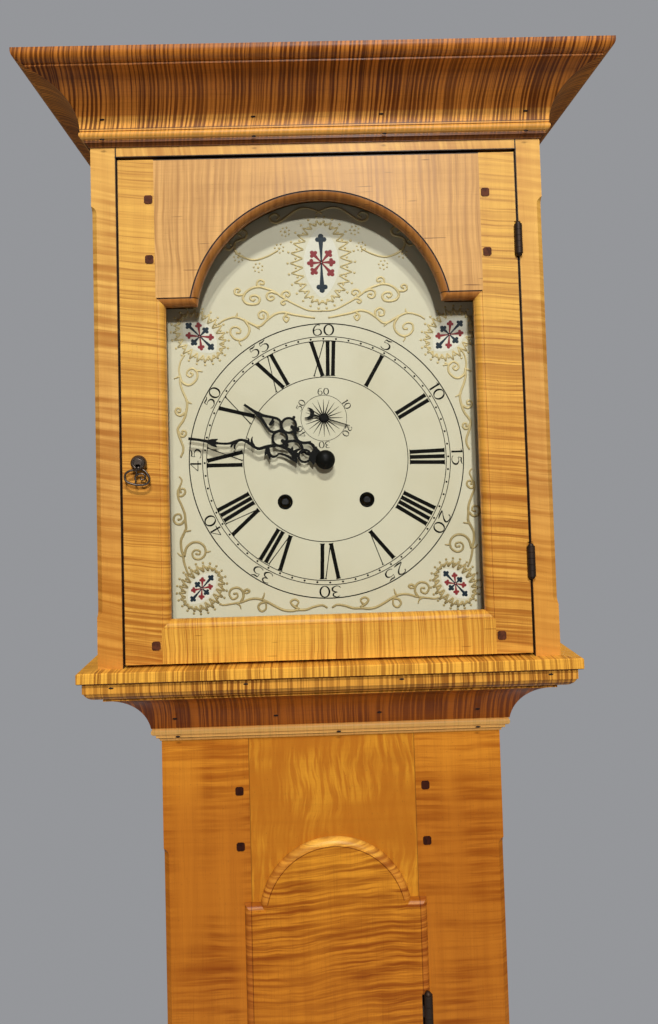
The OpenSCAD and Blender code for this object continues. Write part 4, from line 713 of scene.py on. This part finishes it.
def spin(path, angle, radius):
    # local right and up to the dial: up is outward at a clock angle in degrees, and the foot stands at radius
    a = np.radians(angle)
    right, up = np.array([np.cos(a), -np.sin(a)]), np.array([np.sin(a), np.cos(a)])
    path = np.asarray(path, float)
    return path[:, :1] * right + (path[:, 1:2] + radius) * up


def paint(name, colour, rough=0.4, vary=0.25, metallic=0.0, upper=None, sheen=0.2):
    # brushed paint: its colour thins and darkens in small patches; the gilt is painted paler on the upper
    # dial, a painted highlight where the light falls
    material, shader, place = startMaterial(name)
    patch = place.noise(320.0, 3.0, 0.6)
    cloud = place.noise(24.0, 2.0)
    tone = (patch.between(0.35, 0.75) * vary).blend(colour, [c * 0.55 for c in colour])
    if upper:
        tone = splitAxes(place)[2].between(1.70, 1.86).blend(tone, upper)
    tone = (cloud.between(0.4, 0.7) * vary).blend(tone, [min(1, c * 1.25) for c in colour])
    feed(shader, place, {
        "Base Color": tone,
        "Metallic": metallic,
        "Roughness": patch * 0.2 + rough,
        "Specular IOR Level": sheen,
        "Normal": bumped(place, patch, 0.15, 0.0002),
    })
    return material


inks = {
    "black": paint("inkBlack", (0.0035, 0.003, 0.0015), 0.42, sheen=0.06),
    "grey": paint("inkGrey", (0.008, 0.007, 0.005), 0.45, sheen=0.1),
    "navy": paint("inkNavy", (0.007, 0.019, 0.030), 0.40),
    "red": paint("inkRed", (0.25, 0.026, 0.028), 0.40),
    "white": paint("inkWhite", (0.73, 0.71, 0.565), 0.42, 0.12),
    "nail": paint("nailIron", (0.020, 0.010, 0.007), 0.5),
    # gilt with a painted highlight: paler on the upper dial
    "gilt": paint("gilt", (0.41, 0.318, 0.135), 0.34, 0.5, 0.1, (0.66, 0.545, 0.265)),
}


def paintPiece(name, parts, ink, smooth=False):
    addPiece(name, parts, inks[ink], "case", smooth)


# chapter ring: rings, minute dots, radial hour numerals and minute figures, in millimetres from the middle
ringLook = {
    "rings": [(134.4, 1.0, 0.0), (121.5, 0.7, 0.0), (117.4, 0.7, 0.0), (80.6, 0.7, 0.8)],
    "minuteDots": (119.4, 1.05),
    "hourFoot": 81.9,
    "hourHead": 116.4,
    "figureFoot": 122.4,
    "figureTall": 11.4,
    "figureSpread": 1.5,  # how much wider than the strokes' own box
    "thickness": 0.16,
}
hourStrokes = {  # each stroke: across at its foot and at its head, and width; then the letter's own width
    "I": ([(2.9, 2.9, 3.8)], 5.9),
    "V": ([(7.6, 1.5, 3.8), (8.2, 14.0, 0.75)], 14.6),
    "X": ([(11.9, 1.6, 3.8), (1.9, 14.2, 0.75)], 15.0),
}
hourShift = {9: 2.3}  # degrees that a numeral was painted away from its hour
hourNames = ["XII", "I", "II", "III", "IIII", "V", "VI", "VII", "VIII", "IX", "X", "XI"]


def hourNumerals(look):
    parts = []
    tall = look["hourHead"] - look["hourFoot"]
    for hour, name in enumerate(hourNames):
        start = -sum(hourStrokes[letter][1] for letter in name) / 2
        for letter in name:
            for foot, head, width in hourStrokes[letter][0]:
                t = np.array([0, 0.035, 0.5, 0.965, 1])
                across = (start + foot) * 0.84 * (1 - t) + (start + head) * t
                flare = [1.35, 1.0, 0.96, 1.0, 1.35] if width > 1 else [3.2, 1.3, 1.0, 1.3, 3.2]
                angle = hour * 30 + hourShift.get(hour, 0)
                path = spin(np.stack([across, t * tall], 1), angle, look["hourFoot"])
                parts.append(stroke(path, width * np.array(flare), look["thickness"]))
            start += hourStrokes[letter][1]
    return parts


figureStrokes = {  # strokes of the figures 0 to 6 in a box 100 high: (across, up, width) points
    "0": [[(30 + 26 * np.sin(a), 50 + 46 * np.cos(a), 5 + 9 * abs(np.sin(a)))
           for a in np.linspace(0, 2 * np.pi, 13)]],
    "1": [[(22, 98, 15), (22, 50, 14), (22, 2, 15)], [(20, 95, 5), (8, 84, 4)]],
    "2": [[(8, 70, 9), (12, 88, 6), (30, 96, 6), (49, 86, 11), (49, 66, 13), (34, 40, 8), (13, 16, 5),
           (5, 6, 4)],
          [(5, 5, 10), (34, 5, 12), (56, 11, 5)]],
    "3": [[(8, 88, 6), (28, 96, 5), (46, 84, 11), (42, 64, 8), (22, 56, 4)],
          [(22, 56, 4), (46, 46, 10), (50, 24, 13), (32, 5, 6), (12, 7, 5), (5, 19, 6)]],
    "4": [[(42, 97, 4), (4, 33, 5)], [(2, 31, 6), (62, 31, 6)], [(44, 97, 12), (44, 2, 13)]],
    "5": [[(16, 86, 9), (34, 84, 10), (52, 93, 4)], [(15, 88, 4), (12, 60, 4)],
          [(12, 58, 3), (32, 64, 5), (50, 50, 12), (50, 24, 13), (32, 5, 6), (12, 7, 5), (4, 16, 5)]],
    "6": [[(46, 93, 7), (28, 95, 5), (12, 72, 10), (7, 40, 13), (13, 12, 9), (30, 3, 5), (48, 14, 10),
           (52, 33, 12), (44, 53, 7), (28, 58, 4), (12, 46, 5)]],
}
figureWeight = 1.1  # the pen pressed a little wider than those strokes
figureWidths = {"0": 60, "1": 34, "2": 60, "3": 56, "4": 64, "5": 56, "6": 58}
figureGap = 12


def figures(number, angle, foot, tall, thickness, spread):
    # a number's figures side by side, their foot on a circle at a clock angle in degrees
    parts = []
    start = -(sum(figureWidths[f] * spread for f in number) + figureGap * (len(number) - 1)) / 2
    for figure in number:
        for points in figureStrokes[figure]:
            line = smoothPath(np.array(points) * [spread, 1, 1] + [start, 0, 0], 5) * tall / 100
            parts.append(stroke(spin(line[:, :2], angle, foot), line[:, 2] * figureWeight, thickness))
        start += figureWidths[figure] * spread + figureGap
    return parts


def aside(parts, across, up=0.0):  # the painted ring stands a little to the right of the arbor
    return [(points + [across / 1000, 0, up / 1000], faces) for points, faces in parts]


thick = ringLook["thickness"]
ringAside = 1.7  # millimetres
figureShift = {5: -1.0, 10: -0.3, 35: 0.9, 40: 1.2, 45: 1.3}  # degrees, as they were painted
rings, minuteFigures = [], []
for radius, width, shift in ringLook["rings"]:  # the shift is to the left and up
    rings.append(stroke(circlePath(radius, (-shift, shift)), width, thick, closed=True))
for minute in range(5, 61, 5):
    angle = minute * 6 + figureShift.get(minute, 0)
    foot, tall, spread = ringLook["figureFoot"], ringLook["figureTall"], ringLook["figureSpread"]
    minuteFigures += figures(str(minute), angle, foot, tall, thick, spread)
dotRadius, dotSize = ringLook["minuteDots"]
minuteDots = [dome(spin([[0, 0]], minute * 6, dotRadius)[0], dotSize, 0.15, 8) for minute in range(60)]
numerals = hourNumerals(ringLook)
paintPiece("chapterRings", aside(rings, ringAside), "black")
paintPiece("minuteDots", aside(minuteDots, ringAside), "black", True)
paintPiece("hourNumerals", aside(numerals, ringAside - 0.4, 0.4), "black")
paintPiece("minuteFigures", aside(minuteFigures, ringAside), "black")
print("chapter ring drawn")

# seconds ring: a thin circle, its figures and a star of tapering rays
secondsLook = {"up": 41.0, "radius": 22.5, "rays": 20, "rayFoot": 2.5, "rayHead": 18.5, "figureTall": 6.8}
aboveMiddle = np.array([0.0, secondsLook["up"]])
rays = []
for k in range(secondsLook["rays"]):
    foot, head = secondsLook["rayFoot"], secondsLook["rayHead"]
    line = spin([[0, 0], [0, 2 * foot], [0, head - foot]], k * 360 / secondsLook["rays"], foot)
    rays.append(stroke(line + aboveMiddle, [1.5, 1.1, 0.25], 0.1))
paintPiece("secondsStar", rays, "black")
secondsFigures = [stroke(circlePath(secondsLook["radius"], aboveMiddle), 0.45, 0.12, closed=True)]
for m in range(10, 61, 10):
    foot, tall = secondsLook["radius"] + 0.3, secondsLook["figureTall"]
    secondsFigures += aside(figures(str(m), m * 6, foot, tall, 0.12, 1.3), 0.0, secondsLook["up"])
paintPiece("secondsRing", secondsFigures, "grey")
holeLook = {"middles": [(-40, -40), (40, -40)], "radius": 6.4, "width": 2.0, "height": 0.7}
holeRings = []
for middle in holeLook["middles"]:
    path = circlePath(holeLook["radius"], middle, 48)
    holeRings.append(stroke(path, holeLook["width"], holeLook["height"], "round", True))
paintPiece("windingRings", holeRings, "black", True)
print("seconds ring drawn")

# medallions: a white pointed oval in a gilt zigzag with dots, holding a rosette of trefoil arms
upperLook = {
    "white": (13.6, 21.6), "dots": (25.6, 31.0), "points": 22,
    "navy": [(0, 19.0), (90, 12.0), (180, 19.0), (-90, 12.0)],
    "red": [(39, 14.2), (141, 14.2), (-141, 14.2), (-39, 14.2)], "trefoil": 0.92,
}
lowerLook = {
    "white": (11.2, 18.6), "dots": (23.5, 25.5), "points": 22,
    "navy": [(0, 16.6), (90, 9.0), (180, 16.6), (-90, 9.0)],
    "red": [(38, 11.0), (142, 11.0), (-142, 11.0), (-38, 11.0)], "trefoil": 0.80,
}
raysLook = {"upperWidth": 1.6, "lowerWidth": 1.9, "height": 0.8, "dot": 1.3}  # the zigzag and its dots
medallions = [  # middle and lean; half width and half height of the white oval and of the dots; arms
    {
        "middle": (1.9, 195.4), "lean": 0, "white": (17.4, 35.0), "dots": (33.4, 46.0), "points": 26,
        "navy": [(0, 29.0), (180, 30.5)], "trefoil": 1.15,
        "red": [(40, 15.8), (90, 14.2), (139, 18.2), (-139, 15.8), (-92, 14.4), (-42, 15.8)],
    },
    {**upperLook, "middle": (-119.9, 124.8), "lean": -45},
    {**upperLook, "middle": (126.5, 120.4), "lean": 45},
    {**lowerLook, "middle": (-122.9, -121.3), "lean": 42},
    {**lowerLook, "middle": (123.7, -124.1), "lean": -42},
]


def pointedOval(halfWide, halfTall, count=60):
    # between an ellipse and two meeting arcs: width falls with the square of the height
    a = np.linspace(0, 2 * np.pi, count, endpoint=False)
    up = np.cos(a)
    across = np.sign(np.sin(a)) * (0.55 * (1 - up ** 2) + 0.45 * np.sqrt(np.clip(1 - up ** 2, 0, 1)))
    return np.stack([across * halfWide, up * halfTall], 1)


def leaned(path, middle, lean):
    a = np.radians(lean)
    across, up = np.asarray(path, float).T
    right = middle[0] + across * np.cos(a) + up * np.sin(a)
    return np.stack([right, middle[1] - across * np.sin(a) + up * np.cos(a)], 1)


def trefoilArm(angle, reach, size, middle, lean):
    # a stalk that widens outwards, with three round lobes at its end
    a = np.radians(angle)
    out, side = np.array([np.sin(a), np.cos(a)]), np.array([np.cos(a), -np.sin(a)])
    heel = reach - 4.6 * size
    line = np.outer([0.4, heel * 0.5, heel], out)
    parts = [stroke(leaned(line, middle, lean), [1.1 * size, 2.0 * size, 3.6 * size], 0.22)]
    for along, across, radius in ((0.3, -2.3, 2.1), (0.3, 2.3, 2.1), (2.6, 0, 2.3), (0, 0, 2.3)):
        spot = leaned([out * (heel + along * size) + side * across * size], middle, lean)[0]
        parts.append(dome(spot, radius * size, 0.24))
    return parts


gilt, whites, navies, reds = [], [], [], []
for look in medallions:
    middle, lean = look["middle"], look["lean"]
    oval = pointedOval(*look["white"])
    rim = leaned(oval, middle, lean)
    face = np.concatenate([onDial(rim[:, 0], rim[:, 1], proud) for proud in (0.0, 0.10)])
    whites.append((face, ringFaces(2, len(rim), False)))
    count = look["points"]
    turn = np.linspace(0, 2 * np.pi, 2 * count, endpoint=False)
    inner, outer = np.array(look["white"]) * 1.08, np.array(look["dots"]) * 0.92
    mix = np.tile([0.0, 1.0], count)[:, None]
    reachTo = inner * (1 - mix) + outer * mix
    zigzag = np.stack([np.sin(turn), np.cos(turn)], 1) * reachTo
    corners = leaned(zigzag, middle, lean)
    width = raysLook["upperWidth"] if middle[1] > 0 else raysLook["lowerWidth"]
    for start, end in zip(corners, np.roll(corners, -1, 0)):
        gilt.append(stroke(np.linspace(start, end, 3), width, raysLook["height"], "round"))
    for k in range(2 * count):
        away = np.array(look["dots"]) if k % 2 else reachTo[k] * 0.35 + outer * 0.62
        spot = np.array([np.sin(turn[k]), np.cos(turn[k])]) * away
        gilt.append(dome(leaned([spot], middle, lean)[0], raysLook["dot"], raysLook["height"], 8))
    for angle, reach in look["navy"]:
        size = look["trefoil"] * (1.2 if lean == 0 else 1.0)
        navies += trefoilArm(angle, reach, size, middle, lean)
    for angle, reach in look["red"]:
        reds += trefoilArm(angle, reach, look["trefoil"] * 0.92, middle, lean)
paintPiece("medallionOvals", whites, "white")
paintPiece("navyArms", navies, "navy")
paintPiece("redArms", reds, "red")

# vines: raised gilt stems, curls and small leaves of the left half, mirrored for the right
vineLook = {"stemWidth": (2.2, 2.9), "curlWidth": (2.6, 1.7), "leafWidth": (2.4, 0.9), "height": 1.05}
stems = [
    [(-102, 136.4), (-96, 140.4), (-84.9, 142.9), (-74, 138.5), (-65.8, 134.1), (-60.2, 133.9),
     (-53.9, 139.4), (-46.1, 144.8), (-37.7, 146.6), (-28.8, 144.3), (-19.1, 142.4), (-6.5, 140.2)],
    [(0, 147), (-12.6, 148), (-24.5, 153.5), (-33.3, 158.4), (-40.1, 162.8), (-46.9, 167.9),
     (-55.2, 170.9), (-60.7, 172.4), (-67.6, 171.5), (-73.3, 168.2), (-76.1, 164.4), (-77.2, 160.9),
     (-74.2, 156.6), (-68, 155.1), (-62.4, 156.3), (-60.6, 160.5), (-63.7, 163.7), (-68.5, 163.8),
     (-70, 161.1), (-67.2, 158.9), (-65.1, 160.6)],
    [(3.3, 244.4), (-3.6, 248.1), (-13.6, 250.7), (-22.6, 248.6), (-31.6, 242.3), (-38.1, 238),
     (-43.2, 236.2), (-48.2, 238.9), (-48.1, 243.4), (-42.9, 245.2), (-39.2, 241.9), (-42.5, 239.4)],
    [(-41.3, 208.6), (-51.6, 203.1), (-64.3, 199.6), (-75.6, 202.4), (-83, 207.7), (-84.8, 215.4),
     (-81.5, 219.1), (-73.9, 221.5), (-71.9, 226.6), (-76.8, 229.9), (-80.7, 226.2), (-77, 223.5)],
    [(-135.6, 107), (-139.9, 100.3), (-141.6, 92), (-140.7, 85.2), (-140.7, 79.2), (-138.6, 71.6),
     (-135.7, 64.7), (-134.2, 58.7), (-135.2, 51.2), (-137.7, 43.4), (-141.8, 37.5), (-143.9, 33.5),
     (-142.8, 27.5), (-141.1, 22.5), (-139, 16.4), (-139.3, 11.4), (-141.6, 6.5)],
    [(-143.3, -12.4), (-140.9, -16.4), (-143, -22.3), (-145.1, -27.2), (-144.7, -33.2), (-141.4, -41.2),
     (-138.7, -49.2), (-138.2, -57.1), (-137.8, -63.1), (-140.9, -69.9), (-142.9, -74.7), (-142.7, -82.7),
     (-141.2, -88.4), (-140.5, -94.8), (-138.2, -102.9), (-135.8, -107.9)],
    [(-106.2, -136.7), (-102.8, -137.9), (-94.8, -136.9), (-85.1, -135.6), (-77, -133), (-69, -132.9),
     (-61, -135.9), (-53.1, -140.5), (-45.1, -144.4), (-37.1, -145.6), (-31.2, -144.8), (-23.2, -144.7),
     (-15.2, -142.2), (-7.3, -140.9), (-2.4, -143.5)],
]
curls = [
    [(-76.7, 140.6), (-71.7, 132.1), (-72.9, 125.2), (-78.5, 120.5), (-85.4, 121), (-90.1, 126.3),
     (-89.3, 131.9), (-84.4, 133.2), (-80.4, 130.3), (-81.1, 127.2), (-83.9, 127.2)],
    [(-53.2, 140), (-53.4, 145.6), (-57.8, 148.5), (-62, 145.9), (-61.4, 141.6), (-57.3, 141.2),
     (-57.2, 144.3)],
    [(-34.3, 145.2), (-37.5, 141), (-34.9, 137.1), (-32.4, 140.6), (-34.4, 142.4)],
    [(-76.4, 165.1), (-81.6, 164.9), (-85.1, 166.7), (-85, 170.2), (-82.2, 171.5), (-79.8, 169.4),
     (-81.6, 168)],
    [(-58.6, 172), (-62.7, 173.9), (-62.6, 177.4), (-59.8, 179.4), (-56.4, 177.9), (-56.4, 175.1),
     (-59.2, 175.5)],
    [(-43.5, 165.3), (-49, 167.2), (-53.2, 165.2), (-53.3, 161), (-49.9, 158.8), (-46.4, 160.8),
     (-47.7, 163.3), (-49.8, 162.7)],
    [(-35.7, 160.2), (-38.7, 163.5), (-37.2, 166.6), (-33, 167.5), (-30.7, 164.7), (-32.5, 162.2),
     (-34.5, 163.7)],
    [(-32.6, 158.8), (-36.7, 158.5), (-39.6, 156.1), (-37.6, 154), (-36.1, 155.3)],
    [(-83.5, 216), (-89.3, 210.4), (-94.3, 213.1), (-92.3, 218.1), (-87.9, 215.5)],
    [(-140.9, 86.7), (-139.2, 80.7), (-134, 77.1), (-128.7, 78.1), (-124.1, 83.3), (-124, 89.3),
     (-128.4, 93.2), (-132.9, 91.1), (-133.9, 87.3), (-130.8, 85), (-128.1, 87.5), (-130, 89.1)],
    [(-135.4, 50.4), (-140.6, 47.2), (-144.3, 48.4), (-145.9, 51.5), (-144.2, 54.4), (-141.2, 54),
     (-141.2, 51), (-142.9, 51)],
    [(-143.1, 31.5), (-141, 27.2), (-138, 26.7), (-135.8, 29.3), (-136.9, 32), (-139.6, 31.9),
     (-139.5, 29.6)],
    [(-144.8, -25.2), (-144.3, -30.2), (-141.2, -31.5), (-137.9, -28.4), (-139, -24.6), (-142.5, -24.8),
     (-142.1, -27.6)],
    [(-138.1, -54.2), (-142.7, -58.7), (-147.6, -57.9), (-149.7, -53.8), (-147.5, -49.5), (-143.3, -49.3),
     (-142.1, -53.1), (-144.8, -54.2)],
    [(-140, -90), (-137.8, -82.1), (-132.9, -77.4), (-126.4, -76.6), (-120.9, -80.2), (-119.2, -85.8),
     (-121.1, -90.6), (-126, -93.2), (-130.8, -91.5), (-132.1, -87.1), (-129, -84.1), (-124.8, -85.3),
     (-125.1, -88.2), (-128.1, -88)],
    [(-86.3, -135.7), (-83.4, -130.1), (-84.8, -124.4), (-89.6, -121.5), (-95.3, -123.3), (-97.1, -128.1),
     (-93.9, -132.5), (-89.4, -130.7), (-89.7, -127.1), (-92.3, -127.4)],
    [(-84.2, -126.1), (-80, -123.6), (-77.5, -125.3), (-80.1, -127.1), (-82.9, -126.3)],
    [(-61.8, -135.9), (-67.5, -137.7), (-69.3, -141.7), (-66, -145.1), (-62, -142.7), (-61.7, -137.9)],
    [(-29.7, -144.2), (-35.5, -140.6), (-37.7, -136.8), (-33.9, -134.5), (-30.2, -137), (-32.1, -140.7)],
]
leaves = [
    [(-67.1, 134.8), (-64.1, 132.6), (-61.3, 130.5)],
    [(-78.5, 120.5), (-82, 118.5), (-80, 114.6)],
    [(-84.9, 142.9), (-83.3, 145.3), (-83.4, 147.4)],
    [(-124.7, 90.8), (-121.7, 90.6), (-118.3, 89.8)],
    [(-140.6, 85.6), (-143.6, 84.9), (-146.6, 83.5)],
    [(-135.6, 62.5), (-132.8, 60.1), (-129.7, 58.6)],
    [(-139.9, -66), (-136.4, -65.6), (-132.7, -65)],
    [(-141.3, -90), (-144.2, -88.7), (-146.7, -86.2)],
    [(-119.4, -85.4), (-117, -86.3), (-114.1, -85.6)],
    [(-65.4, -133.8), (-63.7, -130.3), (-63, -127.1)],
    [(-90.7, -136.2), (-87.2, -138.7), (-86.1, -142.1)],
]
seedHeads = [(-62.0, 191.8), (-40.7, 210.5), (-81.3, 202.5), (-34.5, 227.0)]
for side in (1, -1):
    for kind, lines in (("stem", stems), ("curl", curls), ("leaf", leaves)):
        first, last = vineLook[kind + "Width"]
        for line in lines:
            path = smoothPath(np.array(line) * [side, 1] + [0.6, 0], 5)
            t = np.linspace(0, 1, len(path))
            widths = first + (last - first) * t
            if kind == "stem":
                widths = widths * (0.55 + 0.45 * np.sin(np.pi * np.clip(t, 0.02, 0.98)) ** 0.5)
            gilt.append(stroke(path, widths, vineLook["height"], "round"))
            if kind == "curl":
                gilt.append(dome(path[-1], 1.35, 0.95, 8))
    for across, up in seedHeads:
        middle = (side * across + 1.2, up)
        gilt.append(dome(middle, 1.3, 0.9, 8))
        for a in np.radians(np.arange(20, 380, 51.4)):  # seven small dots round a larger one
            gilt.append(dome((middle[0] + 4.4 * np.sin(a), up + 4.4 * np.cos(a)), 1.0, 0.8, 8))
paintPiece("giltVines", gilt, "gilt", True)
print("dial ornament raised")

# key bow: a bent wire heart with a bar and a small scroll, hanging on the key's cross pin
bowLow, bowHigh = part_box("key_bow")
bowPin = np.array([(bowLow[0] + bowHigh[0]) / 2, (bowLow[1] + bowHigh[1]) / 2, bowHigh[2] - 0.0029])
bowLines = [  # millimetres across and up from the pin, thickness of the wire, closed
    ([(0, -1.4), (-3.7, -1.7), (-8.4, -2.5), (-12.0, -5.1), (-12.7, -9.2), (-11.2, -12.2), (-7.3, -14.2),
      (-1.4, -15.6), (4.4, -15.6), (8.5, -13.9), (9.9, -10.4), (8.8, -6.9), (6.2, -3.4), (3.6, -1.6)],
     2.1, True),
    ([(-2.6, -1.9), (-1.9, -5.0), (-3.4, -8.6), (-2.7, -12.0), (-3.4, -14.9)], 1.7, False),
    ([(-2.4, -7.2), (0.6, -5.4), (4.4, -5.7), (6.3, -8.3), (4.5, -10.9), (1.9, -10.1), (2.4, -8.2)],
     1.5, False),
]


def bentRod(path, thickness, closed):
    # a round rod: rings round a flat path, each across its normal and through the depth
    path = np.asarray(path, float)
    normal = pathNormals(path, closed)
    a = np.linspace(0, 2 * np.pi, 12, endpoint=False)
    flat = path[:, None, :] + normal[:, None, :] * np.cos(a)[None, :, None] * thickness / 2
    depth = np.broadcast_to(np.sin(a) * thickness / 2, flat.shape[:2])
    points = np.stack([flat[..., 0], depth, flat[..., 1]], -1).reshape(-1, 3) / 1000 + bowPin
    return points, ringFaces(len(path), 12, closed)


bowParts = []
for points, thickness, closed in bowLines:
    line = smoothPath(points + points[:1] if closed else points, 6)
    bowParts.append(bentRod(line[:-1] if closed else line, thickness, closed))
pinTurn = np.linspace(0, 2 * np.pi, 16, endpoint=False)
pinRing = np.stack([0 * pinTurn, 0.0021 * np.cos(pinTurn), 0.0021 * np.sin(pinTurn)], 1)
pinEnds = np.concatenate([bowPin + pinRing + [side * 0.0018, 0, 0] for side in (-1, 1)])
bowParts.append((pinEnds, ringFaces(2, 16, False)))
keyBow = addPiece("keyBowWire", bowParts, madeMetals["keyIron"], "key_bow")
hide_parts("key_bow")
print("key bow bent")

# nails: flat cut heads, half sunk, in rows along the mouldings
nailRows = [  # body, depth of the surface, height, places across
    ("hood", -0.1035, 2.0846, (-0.2012, -0.0587, 0.0627, 0.2004)),
    ("hood", -0.1029, 2.0658, (-0.2017, -0.0584, 0.0652, 0.2001)),
    ("case", -0.1060, 1.5560, (-0.2005, -0.0780, 0.0646, 0.2017)),
    ("case", -0.0595, 1.5140, (-0.1501, -0.0529, 0.0470, 0.1420)),
    ("case", -0.0525, 1.4950, (-0.1485, 0.0075, 0.1432)),
]


def nailHead(x, y, z, half=(0.0024, 0.0007, 0.0009)):
    # a flattened ball: rings round x at the cosine of their latitude
    a = np.linspace(0, 2 * np.pi, 10, endpoint=False)
    lift = np.radians([-80, -50, -15, 15, 50, 80])[:, None]
    ball = [np.sin(lift) + 0 * a, np.cos(lift) * np.cos(a), np.cos(lift) * np.sin(a)]
    points = np.stack(ball, -1) * half + [x, y, z]
    return points.reshape(-1, 3), ringFaces(6, 10, False)


for body in ("hood", "case"):
    heads = [nailHead(x, y, z) for owner, y, z, across in nailRows if owner == body for x in across]
    addPiece(body + "Nails", heads, inks["nail"], body)
print("nails set")

# floor: a round pale stand under the feet
around = np.linspace(0, 2 * np.pi, 128, endpoint=False)
floorPoints = np.stack([1.7 * np.cos(around), 1.7 * np.sin(around), 0 * around - 0.0005], -1)
floorMesh = bpy.data.meshes.new("floor")
floorMesh.from_pydata(floorPoints.tolist(), [], [list(range(128))])
floor = bpy.data.objects.new("floor", floorMesh)
scene.collection.objects.link(floor)
floorMaterial, floorShader, floorPlace = startMaterial("paleFloor")
floorTone = floorPlace.noise(1.5, 3.0).blend(studioLook["floor"], [c * 0.97 for c in studioLook["floor"]])
feed(floorShader, floorPlace, {"Base Color": floorTone, "Roughness": 0.7})
floorMesh.materials.append(floorMaterial)
